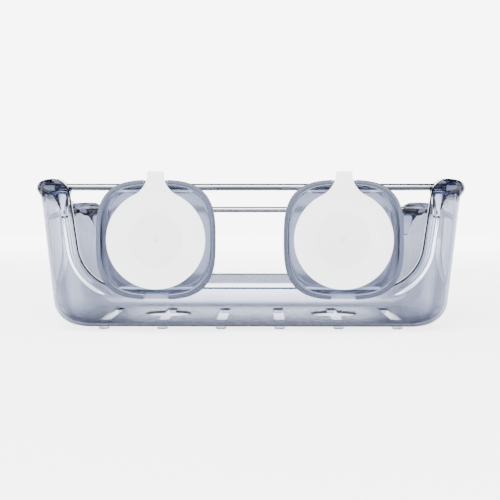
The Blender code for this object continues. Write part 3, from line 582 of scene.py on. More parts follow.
def rimCurve(side):
    # upper edge of a quarter: low wall, window corner, leaning side, shoulder, and rim to the end's middle
    s, n = basketSizes, basketSteps
    lean = math.radians(s["windowLean"])
    cornerX = s["windowHalfWidth"] - s["windowCorner"]
    cornerZ = s["lowWall"] + s["windowCorner"]
    rim = float(rimAt(side * (s["rimHalfDepth"] - s["shoulderInset"])))
    low = np.stack([np.linspace(0, cornerX, n["low"] + 1)[:-1], np.full(n["low"], s["lowWall"])], axis=-1)
    corner = arcPoints((cornerX, cornerZ), s["windowCorner"], -90, -s["windowLean"], n["corner"])
    startX, startZ = corner[-1]
    shoulderZ = rim - s["shoulder"]
    rise = (shoulderZ + s["shoulder"] * math.sin(lean) - startZ) / math.cos(lean)
    topX = startX + rise * math.sin(lean)
    straight = np.linspace(corner[-1], (topX, startZ + rise * math.cos(lean)), n["side"] + 1)[1:-1]
    centre = (topX + s["shoulder"] * math.cos(lean), shoulderZ)
    shoulder = arcPoints(centre, s["shoulder"], 180 - s["windowLean"], 90, n["shoulder"])
    run = np.concatenate([low, corner, straight, shoulder])
    w = alongWall(run[:, 0], run[:, 1])
    topW = np.concatenate([np.linspace(w[-1], 2, n["lip"] + 1)[1:], np.linspace(2, 3, n["lip"] + 1)[1:]])
    _, centreY, radius = outlineSizes(rim, 0)
    topY = centreY * unitPart(3 - topW) + radius * np.cos(unitPart(topW - 1) * math.pi / 2)
    sunk = rimAt(side * topY) - s["endDrop"] * smoothStep(topW, *s["dropReach"])
    along = unit(np.gradient(run, axis=0))
    inward = np.stack([along[:, 1], -along[:, 0]], axis=-1)
    inward = np.concatenate([inward, np.tile([0.0, -1.0], (len(topW), 1))])
    inward[0] = (0.0, -1.0)
    return {
        "w": np.concatenate([w, topW]),
        "run": run,
        "heights": np.concatenate([run[:, 1], sunk]),
        "inward": inward,
        "cornerStart": len(low),
        "shoulderStart": len(low) + len(corner) + len(straight),
    }


def quarterGrid(side):
    # outer surface of a quarter as a grid: rows from the floor's edge up to the rim, columns along the rim
    s, n = basketSizes, basketSteps
    curve = rimCurve(side)
    allW, run, heights, inward = curve["w"], curve["run"], curve["heights"], curve["inward"]
    start, end, columns = curve["cornerStart"], len(run), len(allW)

    def stripRow(inset):
        h = heights + inward[:, 1] * inset
        return np.append(alongWall(run[:, 0] + inward[:end, 0] * inset, h[:end]), allW[end:]), h

    # base of each column: pushed towards the end wall beside the window, so that no two columns cross
    part = np.zeros(columns)
    part[start:end] = np.linspace(0, 1, end - start)
    part[end:] = 1 - np.linspace(0, 1, columns - end + 1)[1:]
    stripW, stripH = stripRow(s["stripWidth"])
    baseW = stripW + s["fanOut"] * smoothStep(part, 0, 1)
    baseW[-1] = 3.0
    fillet = s["endFillet"]
    rows = [(baseW, np.full(columns, fillet * rise), share) for share, rise in rimRows(1.0, n["fillet"])]
    for part in np.linspace(0, 1, n["wall"] + 1)[1:]:
        rows.append((baseW + (stripW - baseW) * part, fillet + (stripH - fillet) * part, 0))
    lowRows = len(rows)
    insets = np.linspace(s["stripWidth"], s["edgeRound"], n["strip"] + 1)[1:]
    rows += [(*stripRow(inset), 0) for inset in insets]
    edges = [(*stripRow(inset), 0) for inset, _ in rimRows(s["edgeRound"])]

    def surface(rows, swell):
        return np.stack([wallPoint(w, h, np.full(columns, share), side, swell) for w, h, share in rows])

    # bead: a low ridge a little inside the window's rising edge, dying out at both ends
    inset = np.concatenate([np.full(lowRows, s["rearRim"]), insets])[:, None]
    ridge = unitPart(1 - ((inset - s["beadInset"]) / s["beadHalfWidth"]) ** 2) ** 1.5
    rim = rimAt(side * s["rimHalfDepth"])
    index = np.arange(columns)
    fade = smoothStep(index - start, *s["beadStart"]) * (1 - smoothStep(heights - rim, *s["beadEnd"]))
    fade[end:] = 0
    bead = s["beadHeight"] * ridge * fade
    lipFade = smoothStep(index, curve["shoulderStart"] + basketPaintedShadeAndLight["lipStart"], end)
    # depth holds the painted shade and painted light of the quarter
    depth = quarterPaintedShadeAndLight(side, rows, inset, index - start, lipFade, fade)
    # the outer face with its lip, and the same wall without it, which the inner face follows
    return [surface(rows, 1), surface(rows, 0), surface(edges, 1), surface(edges, 0), bead, depth]


def quarterPaintedShadeAndLight(side, rows, inset, past, lipFade, beadFade):
    # painted shade at the free edge and over the lip, painted light on the strip under the bead and on the
    # walls, most of all the low ones; the front low wall keeps more painted shade near its edge
    t = basketPaintedShadeAndLight
    lip = t["lip"] * (1 - smoothStep(inset, *t["lipReach"])) * lipFade
    depth = np.maximum(1 - smoothStep(inset, *t["edge"]), lip)
    strip = plateau(inset, *t["stripReach"]) * beadFade
    low = 1 - smoothStep(past, *t["lowColumns"])
    w = np.stack([w for w, _, _ in rows])
    if side > 0:
        below = t["low"]
        beside = t["wall"] + (t["band"] - t["wall"]) * plateau(w, *t["bandReach"])
    else:
        away = smoothStep(inset, *t["frontEdge"])
        below = t["low"] * away - t["front"] * (1 - away)
        beside = t["wall"] - (t["wall"] + t["front"]) * (1 - smoothStep(w, *t["frontCorner"]))
    light = smoothStep(np.arange(len(rows))[:, None], *t["wallRows"]) * (beside + (below - beside) * low)
    light = light + (t["strip"] - light) * strip
    depth = depth - light * (depth < t["plainBelow"])
    # a painted dark line of shade runs round the bottom, a little over the floor's edge
    bottom = np.array(t["bottomRows"])[:, None]
    depth[:len(bottom)] = bottom * (t["bottomShares"][0] + t["bottomShares"][1] * low)
    return depth


def fullRing(rear, front, mirror=1.0):
    # closes the ring of columns from a rear and a front quarter and their mirror images
    left = (front * mirror)[:, 1:], (rear * mirror)[:, -2:0:-1]
    return np.concatenate([rear, front[:, -2::-1], *left], axis=1)


def gridNormals(grid):
    # surface direction from the cross product of the differences along rows and columns of a closed ring
    across = np.roll(grid, -1, axis=1) - np.roll(grid, 1, axis=1)
    normal = unit(np.cross(np.gradient(grid, axis=0), across))
    return normal * (-1.0 if np.sum(normal[:, :, :2] * grid[:, :, :2]) < 0 else 1.0)


floorSizes = {
    "lastSlot": 106.01, "slotCount": 6, "slotWidth": 7.8, "slotHalfLength": 41.81, "slotBack": 1.0,
    "bottleHole": 18.0, "bottleSlots": (1, 4), "edgeRound": 0.3, "footRadius": 3.9,
    "footRoot": 0.35, "footRowGap": 4.8, "footEdge": 0.5,
}


def slotOutline(x, y, withHole):
    # straight slot with round ends; the bottle hole adds a wide arc on each side
    s = floorSizes
    half = s["slotWidth"] / 2
    reach = s["slotHalfLength"] - half
    rear = arcPoints((0, reach), half, 0, 180, 20)
    front = arcPoints((0, -reach), half, 180, 360, 20)
    if withHole:
        meet = math.degrees(math.acos(half / s["bottleHole"]))
        left = arcPoints((0, 0), s["bottleHole"], 180 - meet, 180 + meet, 44)
        right = arcPoints((0, 0), s["bottleHole"], -meet, meet, 44)
    else:
        left = np.linspace((-half, reach), (-half, -reach), 24)[1:-1]
        right = -left
    return np.concatenate([rear, left, front, right]) + np.array([x, y])


def footGrids(centre):
    # round foot under the floor: a hollow root, a rounded rim, and a sole that closes to its middle
    f = floorSizes
    ring = arcPoints(centre, f["footRadius"], 0, 360, 40)[:-1]
    outward = outlineNormals(ring)
    steps = [(out, basketSizes["floorZ"] - down) for out, down in rimRows(f["footRoot"])]
    steps += [(-inset, up) for up, inset in rimRows(f["footEdge"])]
    foot = np.stack([flatRow("z", ring + outward * out, z) for out, z in steps])
    middle = np.tile((*centre, 0.0), (1, len(ring), 1))
    # painted shade and painted light: dark rows near the foot's root and its sole's rim, lighter rows between
    return [(foot, np.array(basketPaintedShadeAndLight["foot"])[:, None]), (np.concatenate([foot[-1:], middle]), 0.0)]


def makeBasket():
    # shell: the outer surface, a quarter turn over the rim, one back, and the inner surface a wall further in
    s, f, t = basketSizes, floorSizes, basketPaintedShadeAndLight
    quarters = list(zip(quarterGrid(1), quarterGrid(-1)))
    outer, plain, edges, plainEdges = (fullRing(*pair, np.array([-1.0, 1, 1])) for pair in quarters[:4])
    bead, depth = (fullRing(*pair) for pair in quarters[4:])
    normals = gridNormals(plain)
    normals[0] = (0, 0, -1)
    ridge = normals * bead[:, :, None]
    steps = np.array([step for _, step in rimRows(s["edgeRound"])])[:, None, None]
    over = (edges - normals[-1] * steps)[1:]
    back = (plainEdges - normals[-1] * (s["wall"] - steps))[:0:-1]
    shell = np.concatenate([outer + ridge, over, back, (plain - normals * s["wall"] - ridge)[::-1]])
    shell = shell + np.array([0, s["basketY"], s["floorZ"]])
    # painted shade: the rows over the rim and down its back are dark
    rim = np.full((len(over) + len(back), depth.shape[1]), t["freeEdge"])
    grids = [(shell, np.concatenate([depth, rim, depth[::-1]]))]
    bottomLoops, topLoops = [shell[0]], [shell[-1]]
    middleY = s["basketY"] + f["slotBack"]
    row = f["slotHalfLength"] + f["footRowGap"]
    span = (s["floorZ"], s["floorZ"] + s["wall"])
    for i, x in enumerate(f["lastSlot"] * (2 * np.arange(f["slotCount"]) / (f["slotCount"] - 1) - 1)):
        outline = slotOutline(x, middleY, i in f["bottleSlots"])
        wall = rimmedWall(outline, outlineNormals(outline), span, "z", f["edgeRound"])
        # painted shade: the slot walls are dark
        grids.append((wall, np.array(t["slot"])[:, None]))
        bottomLoops.append(wall[0])
        topLoops.append(wall[-1])
        for side in (-1, 1):
            grids += footGrids((x, middleY + side * row))
            bottomLoops.append(grids[-2][0][0])
    return makeObject("basket_body", gridMesh(grids, [bottomLoops, topLoops]), basketPlastic)


basketBody = makeBasket()
print("basket body:", len(basketBody.data.polygons), "faces")

socketSizes = {
    "railRadius": 2.4, "railHalfLength": 135.5, "railEdge": 0.5, "belowRim": 5.7, "inset": 7.5,
    "radius": 5.2, "mouth": 126.2, "mouthClear": 0.25, "mouthEdge": 0.6, "length": 19.4,
    "dome": 7.0, "domeEnd": 0.12, "wallShare": 0.45, "gussetHeight": 21.5, "gussetTopWidth": 17.0,
    "gussetTip": 2.4, "gussetSet": 0.4,
    "gussetTipRows": ((0.0, 0.35), (0.015, 0.62), (0.045, 0.86), (0.10, 1.0)), "fit": 0.3,
}
railReach = basketSizes["rimHalfDepth"] - socketSizes["inset"]
railDrop = basketSizes["floorZ"] - socketSizes["belowRim"]
railYs = {side: basketSizes["basketY"] + side * railReach for side in (1, -1)}
railZs = {1: railDrop + basketSizes["rearRim"], -1: railDrop + basketSizes["frontRim"]}


def shoulderX(height, side):
    # where the window's shoulder stands at a height over the floor
    curve = rimCurve(side)
    run = curve["run"][curve["cornerStart"]:]
    return np.interp(height, run[:, 1], run[:, 0])


def makeSocket(side, hand):
    # round-nosed block behind a top corner, from the shoulder to an end that sinks in a quarter ellipse
    s, b = socketSizes, basketSizes
    y, z, nose = railYs[side], railZs[side], s["radius"]
    wallY = b["basketY"] + side * (wallHalf(z - b["floorZ"]) - b["wall"] * s["wallShare"])
    deep = abs(wallY - y)
    arc = arcPoints((0, 0), nose, 90, 270, 28)
    outline = np.concatenate([
        np.linspace((deep, nose), arc[0], 8)[:-1],
        arc,
        np.linspace(arc[-1], (deep, -nose), 8)[1:],
        np.linspace((deep, -nose), (deep, nose), 12)[1:-1],
    ])
    mouth = np.maximum(s["mouth"], shoulderX(z - b["floorZ"] + outline[:, 1], side) + s["mouthClear"])
    end = s["mouth"] + s["length"]
    outward = outlineNormals(outline[::-1])[::-1]
    start = mouth + s["mouthEdge"]
    rows = [(outline - outward * inset, mouth + step) for inset, step in rimRows(s["mouthEdge"])]
    rows += [(outline, start + (end - s["dome"] - start) * part) for part in np.linspace(0.1, 0.9, 9)]
    for t in np.linspace(math.pi / 2, s["domeEnd"], 9):
        rows.append((outline * np.array([1, math.sin(t)]), end - s["dome"] * (1 - math.cos(t)) + 0 * mouth))
    grid = np.stack([onAxis("x", y + side * points[:, 0], z + points[:, 1], hand * x) for points, x in rows])
    # painted shade: the socket is darker
    return capped("socket", grid, basketPlastic, basketPaintedShadeAndLight["socket"])


def makeGusset(side, hand):
    # spear under a socket: ellipses that shrink with the square of their height to a rounded tip
    s, b = socketSizes, basketSizes
    tipZ = railZs[side] - b["floorZ"] - s["gussetHeight"]
    thin, wide, deep = s["gussetTip"], s["gussetTopWidth"] / 2, s["radius"] - s["gussetSet"]
    startX = s["mouth"] + s["gussetSet"]
    tipY = wallHalf(tipZ) - (b["wall"] + thin) / 2
    rows = [*s["gussetTipRows"], *((part, 1.0) for part in np.linspace(s["gussetTipRows"][-1][0], 1, 18)[1:])]
    part, size = np.array(rows).T[:, :, None]
    angle = np.radians(np.linspace(0, 360, 48, endpoint=False))
    ease = part ** 2
    halfWide, halfDeep = thin + (wide - thin) * ease, thin + (deep - thin) * ease
    x = startX + halfWide + halfWide * size * np.cos(angle)
    y = tipY + (railReach - tipY) * ease + halfDeep * size * np.sin(angle)
    z = b["floorZ"] + tipZ + s["gussetHeight"] * part + 0 * angle
    return capped("gusset", np.stack([hand * x, b["basketY"] + side * y, z], axis=-1), basketPlastic)


joins, cuts = [], []
for side in (1, -1):
    for hand in (1, -1):
        joins += [makeSocket(side, hand), makeGusset(side, hand)]
    radius, reach = (socketSizes[key] + socketSizes["fit"] for key in ("railRadius", "railHalfLength"))
    cuts.append(boreTool("bore", radius, reach, (0, railYs[side], railZs[side]), basketPlastic, 40))
carve(basketBody, joins, cuts)
settle(basketBody, "basket", "basket")
print("basket:", len(basketBody.data.polygons), "faces")
railSize = [socketSizes[key] for key in ("railRadius", "railHalfLength", "railEdge")]
for side, name, node in ((1, "rear_rod", "rear_rail"), (-1, "front_rod", "front_rail")):
    rod = steelBar(name, *railSize, 4, (0, railYs[side], railZs[side]), railSteel)
    settle(rod, "basket", node)
print("rails made")

# Suction units

unitSizes = {
    "offset": 63.3, "wallY": 83.8824, "centreZ": 65.7, "plateFront": 62.1, "plateBack": 64.1,
    "housingHalf": 40.5, "housingInner": 37.0, "squareness": 3.1, "draft": 6.0, "innerDraft": 3.0,
    "fillet": 3.0, "floorFillet": 1.2, "rimGap": 1.2, "rimRound": 0.5, "bore": 5.3,
    "boreEdge": 0.25, "guideRadius": 7.3, "guideLength": 8.5, "guideEdge": 0.3,
    "frontRows": ((13.0, 2.0), (22.0, 2.2), (31.0, 2.7)),  # half size and squareness across the plate
    "backRows": ((33.0, 2.5), (18.0, 2.0)), "ringRadius": 29.0, "ringThickness": 1.8,
    "ringRoot": 0.6, "ringEdge": 0.35, "ribOffset": 33.0, "ribThickness": 1.5, "ribGap": 3.0,
    "ribReach": 0.6, "spokeThickness": 1.4, "spokeHeight": 6.0, "spokeReach": 0.5,
    "notchWidth": 16.0, "notchDepth": 3.5, "clipHalfWidth": 20.0, "clipWall": 1.8, "clipOpen": 62.0,
    "catchInner": 10.0, "catchWidth": 6.0, "catchWall": 1.4, "catchDrop": 2.2, "strapTop": 9.5,
    "sink": 0.4,  # how deep a joined piece reaches into the shell
    "edge": 0.3, "fineEdge": 0.2, "fit": 0.3,
    "wallPaintedShadeAndLight": (1.3, -0.9),  # inner wall: painted shade at the sides, painted light above and below
    "innerZone": (35.5, 37.3, 64.9, 90.0),  # half size from and to, y from and to
    # painted shade: a dark band on the rim and a dark line in the corner where the inner wall meets the
    # plate; painted light: ribs, clip, ledge, hooks and straps are lighter
    "rimZone": (36.8, 50.0, 82.1, 90.0), "rimPaintedShade": 0.66, "rootZone": (34.5, 37.0, 64.0, 65.0),
    "rootPaintedShade": 0.2, "ribPaintedLight": -0.6, "clipPaintedLight": -0.7,
}
cupSizes = {
    "radius": 33.45, "sealWidth": 9.0, "sealRound": 0.4, "hollow": 1.6, "edge": 1.2,
    "edgeRounds": (0.35, 0.5),
    "root": 2.4, "bossRadius": 12.5, "bossHeight": 8.0, "bossFoot": 1.6,
    "bossRoot": ((0.5, 0.4), (-0.1, 1.6)), "bossTop": ((0.3, -0.9), (-0.2, -0.2), (-0.9, 0)),
    "boreEdge": ((0.4, 0), (0, -0.4)), "pocketFit": (0.3, 0.6), "web": 1.4, "dishPower": 3.0,
    "lineReach": (17.7, 18.3), "lineDepth": 0.35, "gateReach": (1.2, 2.0), "gateDepth": 0.35,
    "tabHalfWidth": 5.5, "tabReach": 46.0, "tabThickness": 1.4, "tabSetBack": 0.3, "tabFlare": 16.5,
    "tabCorner": 1.4, "tabRoot": 20.0,
}
leverSizes = {
    "pinY": 52.7, "width": 20.0, "camLocked": 8.0, "camFree": 5.5, "armLength": 30.5,
    "armThickness": 3.4, "armBack": 7.2, "armShoulder": 15.0,
    "heelCorners": ((-1.0, -0.6), (-0.4, -1.9)),  # in shares of the free cam
    "fingerLift": 5.0, "fingerLength": 6.5,
    "fingerFront": ((0, 1), (0.4, 0.45), (1, 0), (0.4, -0.09)),  # lift and rise in shares of the two above
    "fingerBack": ((0.3, 0.4), (0, 1)), "edge": 0.55, "pinRadius": 2.0, "pinHalf": 9.4,
    "chamfer": 0.3, "eyeHalfWidth": 3.5, "eyeRadius": 4.5, "eyeNeck": 5.0, "eyeRoot": 3.5,
    "stemRadius": 5.0, "stemRoot": 0.25, "stemEnd": ((0, -0.4), (-0.1, -0.15), (-0.4, 0)),
    "flangeRadius": 9.5, "flange": 2.0, "plateFront": 61.0, "plateRadius": 11.0, "plateEdge": 0.12,
    "fit": 0.3,
}


def squareRings(profile, steps):
    # rings round the unit's axis: half / (|cos|^p + |sin|^p)^(1/p), a circle at power 2 and squarer above it
    angle = 2 * math.pi * (np.arange(steps) + 0.5) / steps
    half, y, power = profile.T[:, :, None]
    radius = half / (np.abs(np.cos(angle)) ** power + np.abs(np.sin(angle)) ** power) ** (1 / power)
    return onAxis("y", radius * np.cos(angle), radius * np.sin(angle), y + 0 * angle), np.cos(angle) ** 2


def cornerRows(start, corner, end, radius, steps=4):
    # rows (half size, y, power) of a rounded corner between two straight runs of the profile
    start, corner, end = (np.array(p, dtype=float) for p in (start, corner, end))
    one = corner + (start - corner) * min(radius / np.linalg.norm((start - corner)[:2]), 0.5)
    two = corner + (end - corner) * min(radius / np.linalg.norm((end - corner)[:2]), 0.5)
    return bend(one, corner, two, np.linspace(0, 1, steps + 1)[:, None])


def roundedProfile(points):
    # closed profile of (half size, y, power, rounding), each corner rounded by its own amount
    rows = []
    for i, (half, y, power, rounding) in enumerate(points):
        before, after = points[i - 1][:3], points[(i + 1) % len(points)][:3]
        corner = (half, y, power)
        rows.append(cornerRows(before, corner, after, rounding) if rounding else np.array([corner]))
    rows = np.concatenate(rows)
    return np.vstack([rows, rows[:1]])


def within(profile, fromHalf, toHalf, fromY, toY):
    half, y = profile[:, 0], profile[:, 1]
    return (half > fromHalf) & (half < toHalf) & (y > fromY) & (y < toY)


def offsetFrom(point, offsets):
    return [(point[0] + across, point[1] + along) for across, along in offsets]


def cupBack(radius):
    # depth of the cup's sloping back at a radius
    s = cupSizes
    share = (s["radius"] - radius) / (s["radius"] - s["bossRadius"])
    return s["edge"] + (s["root"] + s["hollow"] - s["edge"]) * share


def makeShell(name, x):
    # rounded-square shell: one closed profile of front, rim, inner wall, press ring and stem guide
    s = unitSizes
    front, back, square, root, edge = (
        s[key] for key in ("plateFront", "plateBack", "squareness", "ringRoot", "ringEdge"))
    rimY = s["wallY"] - s["rimGap"]
    shoulder = s["housingHalf"] - (rimY - front - s["fillet"]) * slope(s["draft"])
    floorHalf = s["housingInner"] - (rimY - back) * slope(s["innerDraft"])
    ringY = s["wallY"] - cupBack(s["ringRadius"]) - s["fit"]
    ringOut, ringIn = (s["ringRadius"] + sign * s["ringThickness"] / 2 for sign in (1, -1))
    guideY = back + s["guideLength"]
    (outerHalf, outerPower), (innerHalf, innerPower) = s["backRows"]
    profile = roundedProfile([
        (s["bore"], front, 2.0, s["boreEdge"]),
        *((half, front, power, 0) for half, power in s["frontRows"]),
        (shoulder, front, square, s["fillet"]),
        (s["housingHalf"], rimY, square, s["rimRound"]),
        (s["housingInner"], rimY, square, s["rimRound"]),
        (floorHalf, back, square, s["floorFillet"]),
        (outerHalf, back, outerPower, 0),
        (ringOut, back, 2.0, root),
        (ringOut, ringY, 2.0, edge),
        (ringIn, ringY, 2.0, edge),
        (ringIn, back, 2.0, root),
        (innerHalf, back, innerPower, 0),
        (s["guideRadius"], back, 2.0, root),
        (s["guideRadius"], guideY, 2.0, s["guideEdge"]),
        (s["bore"], guideY, 2.0, s["guideEdge"]),
    ])
    grid, sides = squareRings(profile, 192)
    # painted shade on the rim zone and in the corner where the inner wall meets the plate; painted shade at
    # the inner wall's sides and painted light above and below
    tint = np.where(within(profile, *s["rootZone"]), s["rootPaintedShade"], 0.0)
    tint = np.where(within(profile, *s["rimZone"]), s["rimPaintedShade"], tint)[:, None]
    inner = within(profile, *s["innerZone"])[:, None]
    depth = tint + inner * (s["wallPaintedShadeAndLight"][0] * sides + s["wallPaintedShadeAndLight"][1])
    grid = grid + np.array([x, 0, s["centreZ"]])
    return makeObject(name, gridMesh([(grid, depth)]), housingPlastic)


def crossRibs(x):
    # two ribs across the shell, and four spokes between the stem guide and the press ring
    s = unitSizes
    start = s["plateBack"] - s["sink"]
    square = s["squareness"]
    share = (s["ribOffset"] / s["housingInner"]) ** square
    half = s["housingInner"] * (1 - share) ** (1 / square) + s["ribReach"]
    end = s["wallY"] - s["rimGap"] - s["ribGap"]
    made = []
    for sign in (1, -1):
        z, thick = s["centreZ"] + sign * s["ribOffset"], s["ribThickness"] / 2
        low, high = (x - half, start, z - thick), (x + half, end, z + thick)
        # painted light: the ribs are lighter
        made.append(roundedBox("rib", low, high, s["edge"], s["ribPaintedLight"]))
    for turn in np.radians(45 + 90 * np.arange(4)):
        side = np.array([-math.sin(turn), math.cos(turn)]) * s["spokeThickness"] / 2
        ray = np.array([math.cos(turn), math.sin(turn)])
        near = ray * (s["guideRadius"] - s["spokeReach"])
        far = ray * (s["ringRadius"] - s["ringThickness"] / 2 + s["spokeReach"])
        corners = np.array([near - side, far - side, far + side, near + side]) + np.array([x, s["centreZ"]])
        made.append(extruded("spoke", corners, (start, start + s["spokeHeight"]), "y", edge=s["fineEdge"]))
    return made


def railClip(x):
    # open ring round the rear rail with round tips, drawn out along it, on a ledge of the front plate
    s = unitSizes
    inner = socketSizes["railRadius"] + s["fit"]
    outer = inner + s["clipWall"]
    middle = (inner + outer) / 2
    first, last = 90 + s["clipOpen"], 450 - s["clipOpen"]
    tipEnd = arcPoints((0, 0), s["clipWall"] / 2, 0, 180, 8)[1:-1]

    def tip(angle, flip):
        cos, sin = math.cos(math.radians(angle)), math.sin(math.radians(angle))
        spin = np.array([[cos, sin], [-sin, cos]])
        return (tipEnd * np.array([1, flip])) @ spin + middle * spin[0]

    outline = np.concatenate([
        arcPoints((0, 0), outer, first, last, 44),
        tip(last, 1),
        arcPoints((0, 0), inner, last, first, 40),
        tip(first, -1)[::-1],
    ]) + np.array([railYs[1], railZs[1]])
    reach, sink = s["clipHalfWidth"], s["sink"]
    low = (x - reach + sink, railYs[1], railZs[1] - outer + s["edge"])
    high = (x + reach - sink, s["plateFront"] + sink, railZs[1] - inner - sink)
    # painted light: the clip and its ledge are lighter
    clip = extruded("clip", outline, (x - reach, x + reach), "x", depth=s["clipPaintedLight"])
    return [clip, roundedBox("ledge", low, high, s["fineEdge"], s["clipPaintedLight"])]


def wallCatches(x):
    # two hooks over the low rear wall, each with a strap up the front plate
    s, b = unitSizes, basketSizes
    sink, wall, drop = s["sink"], s["catchWall"], s["catchDrop"]
    front = s["plateFront"] + sink
    top = b["floorZ"] + b["lowWall"] + s["fit"]
    inside = b["basketY"] + wallHalf(b["lowWall"]) - b["wall"] - s["fit"] * 1.5 - drop * slope(b["wallDraft"])
    hook = np.array([
        (front, top), (front, top + wall), (inside - wall, top + wall),
        (inside - wall, top - drop), (inside, top - drop), (inside, top),
    ])
    made = []
    for sign in (-1, 1):
        ends = sorted((x + sign * s["catchInner"], x + sign * (s["catchInner"] + s["catchWidth"])))
        # painted light: the hook and its strap are lighter
        made.append(extruded("catch", roundCorners(hook, sink), ends, "x", depth=s["clipPaintedLight"]))
        low = (ends[0] + sink, s["plateFront"] + s["fineEdge"], top + sink)
        high = (ends[1] - sink, s["plateBack"] - sink, s["centreZ"] - s["strapTop"])
        made.append(roundedBox("strap", low, high, s["fineEdge"], s["clipPaintedLight"]))
    return made


def makeHousing(name, x):
    s = unitSizes
    housing = makeShell(name, x)
    joins = crossRibs(x) + railClip(x) + wallCatches(x)
    half, rimY, notches = s["notchWidth"] / 2, s["wallY"] - s["rimGap"], []
    for sign in (1, -1):
        ends = sorted(s["centreZ"] + sign * reach for reach in (s["ribOffset"], s["housingHalf"] + 1))
        low, high = (x - half, rimY - s["notchDepth"], ends[0]), (x + half, s["wallY"] + 1, ends[1])
        notches.append(roundedBox("notch", low, high))
    return carve(housing, joins, notches)


def makeCup(name, x):
    # turned cup: the dish depth is hollow * (1 - share^3), with a fine line and a gate mark near its middle
    s, u, v = cupSizes, unitSizes, leverSizes
    seal = s["radius"] - s["sealWidth"]
    radii = np.linspace(0, seal, 57)
    dish = s["hollow"] * (1 - (radii / seal) ** s["dishPower"])
    for mark in ("line", "gate"):
        dish += s[mark + "Depth"] * (1 - smoothStep(radii, *s[mark + "Reach"]))
    boss, back, top = s["hollow"] + s["bossHeight"], s["root"] + s["hollow"], s["bossRadius"] - s["edge"]
    pocketFront = s["hollow"] + s["web"]
    pocketBack = pocketFront + v["flange"] + s["pocketFit"][1]
    pocketRadius, bore = (v[key] + s["pocketFit"][0] for key in ("flangeRadius", "stemRadius"))
    small, large = s["edgeRounds"]
    foot = s["bossRadius"] + s["bossFoot"]
    outline = [
        *zip(radii, dish),
        (seal + s["sealRound"], 0.0),
        (s["radius"] - small, 0.0),
        *arcPoints((s["radius"] - small, small), small, -90, 0, 4),
        *arcPoints((s["radius"] - large, s["edge"] - large), large, 0, 80, 4),
        (foot, cupBack(foot)),
        *offsetFrom((s["bossRadius"], back), s["bossRoot"]),
        *offsetFrom((top, boss), s["bossTop"]),
        *offsetFrom((bore, boss), s["boreEdge"]),
        (bore, pocketBack),
        (pocketRadius, pocketBack),
        (pocketRadius, pocketFront),
        (0, pocketFront),
    ]
    cup = turned(name, np.array(outline) * np.array([1, -1]), (x, u["wallY"], u["centreZ"]), "y", rubber, 192)
    centreX = s["tabHalfWidth"] + s["tabFlare"]
    centreZ = math.sqrt((s["radius"] + s["tabFlare"]) ** 2 - centreX ** 2)
    touch = math.degrees(math.atan2(-centreZ, -centreX)) + 360
    flare = arcPoints((centreX, centreZ), s["tabFlare"], touch, 180, 24)
    corner = s["tabCorner"]
    tip = arcPoints((s["tabHalfWidth"] - corner, s["tabReach"] - corner), corner, 0, 90, 8)
    side = np.concatenate([[(flare[0][0], s["tabRoot"])], flare, tip])
    outline = np.concatenate([side, side[::-1] * np.array([-1, 1])]) + np.array([x, u["centreZ"]])
    front = u["wallY"] - s["tabSetBack"]
    return carve(cup, [extruded("tab", outline, (front - s["tabThickness"], front), "y")])


def makeStem(name, x):
    # turned stem with a flange, and a flat eye with round end for the pin
    s, u = leverSizes, unitSizes
    wide, radius, cut, root = (s[key] for key in ("flangeRadius", "stemRadius", "chamfer", "stemRoot"))
    front = cupSizes["hollow"] + cupSizes["web"] + s["fit"]
    back = front + s["flange"]
    end = u["wallY"] - s["plateFront"]
    profile = [(0, front), (wide - cut, front), (wide, front + cut), (wide, back - cut), (wide - cut, back)]
    profile += [(radius + root, back), (radius, back + root)]
    profile += [*offsetFrom((radius, end), s["stemEnd"]), (0, end)]
    profile = np.array(profile) * np.array([1, -1])
    stem = turned(name, profile, (x, u["wallY"], u["centreZ"]), "y", stemPlastic)
    pinY, z, half = s["pinY"], u["centreZ"], s["eyeRoot"]
    rootY, neck = s["plateFront"] + radius, pinY + s["eyeNeck"]
    eye = np.concatenate([
        [(rootY, z + half), (neck, z + half)],
        arcPoints((pinY, z), s["eyeRadius"], 90, 270, 32),
        [(neck, z - half), (rootY, z - half)],
    ])
    reach = s["eyeHalfWidth"]
    bore = boreTool("eye_bore", s["pinRadius"] + s["fit"], reach + 1, (x, pinY, z))
    return carve(stem, [extruded("eye", eye, (x - reach, x + reach), "x")], [bore])


def leverOutline():
    # side view round the pin: an involute cam that falls evenly with the turn, the heel, the arm and its lip
    s = leverSizes
    free, length = s["camFree"], s["armLength"]
    fall = (s["camLocked"] - free) / (math.pi / 2)
    turn = np.linspace(0, math.pi / 2, 25)
    reach = s["camLocked"] - fall * turn
    cos, sin = np.cos(turn), np.sin(turn)
    cam = np.stack([reach * cos + fall * sin, reach * sin - fall * cos], axis=-1)
    heel = arcPoints((0, 0), free, 90, 180, 20)[1:]
    front = s["armBack"] - s["armThickness"]
    corners = [(free * across, free * up) for across, up in s["heelCorners"]] + [(front, -s["armShoulder"])]
    lift, rise = s["fingerLift"], s["fingerLength"]
    for start, shares in ((front, s["fingerFront"]), (s["armBack"], s["fingerBack"])):
        corners += [(start - lift * across, rise * up - length) for across, up in shares]
    path = np.concatenate([heel[-1:], np.array(corners), cam[:1]])
    for _ in range(3):
        # each pass cuts every corner of the arm to a quarter and three quarters of its sides
        low = path[:-1] * 0.75 + path[1:] * 0.25
        high = path[:-1] * 0.25 + path[1:] * 0.75
        middle = np.stack([low, high], axis=1).reshape(-1, 2)
        path = np.concatenate([path[:1], middle[1:-1], path[-1:]])
    return np.concatenate([cam, heel, path[1:-1]])


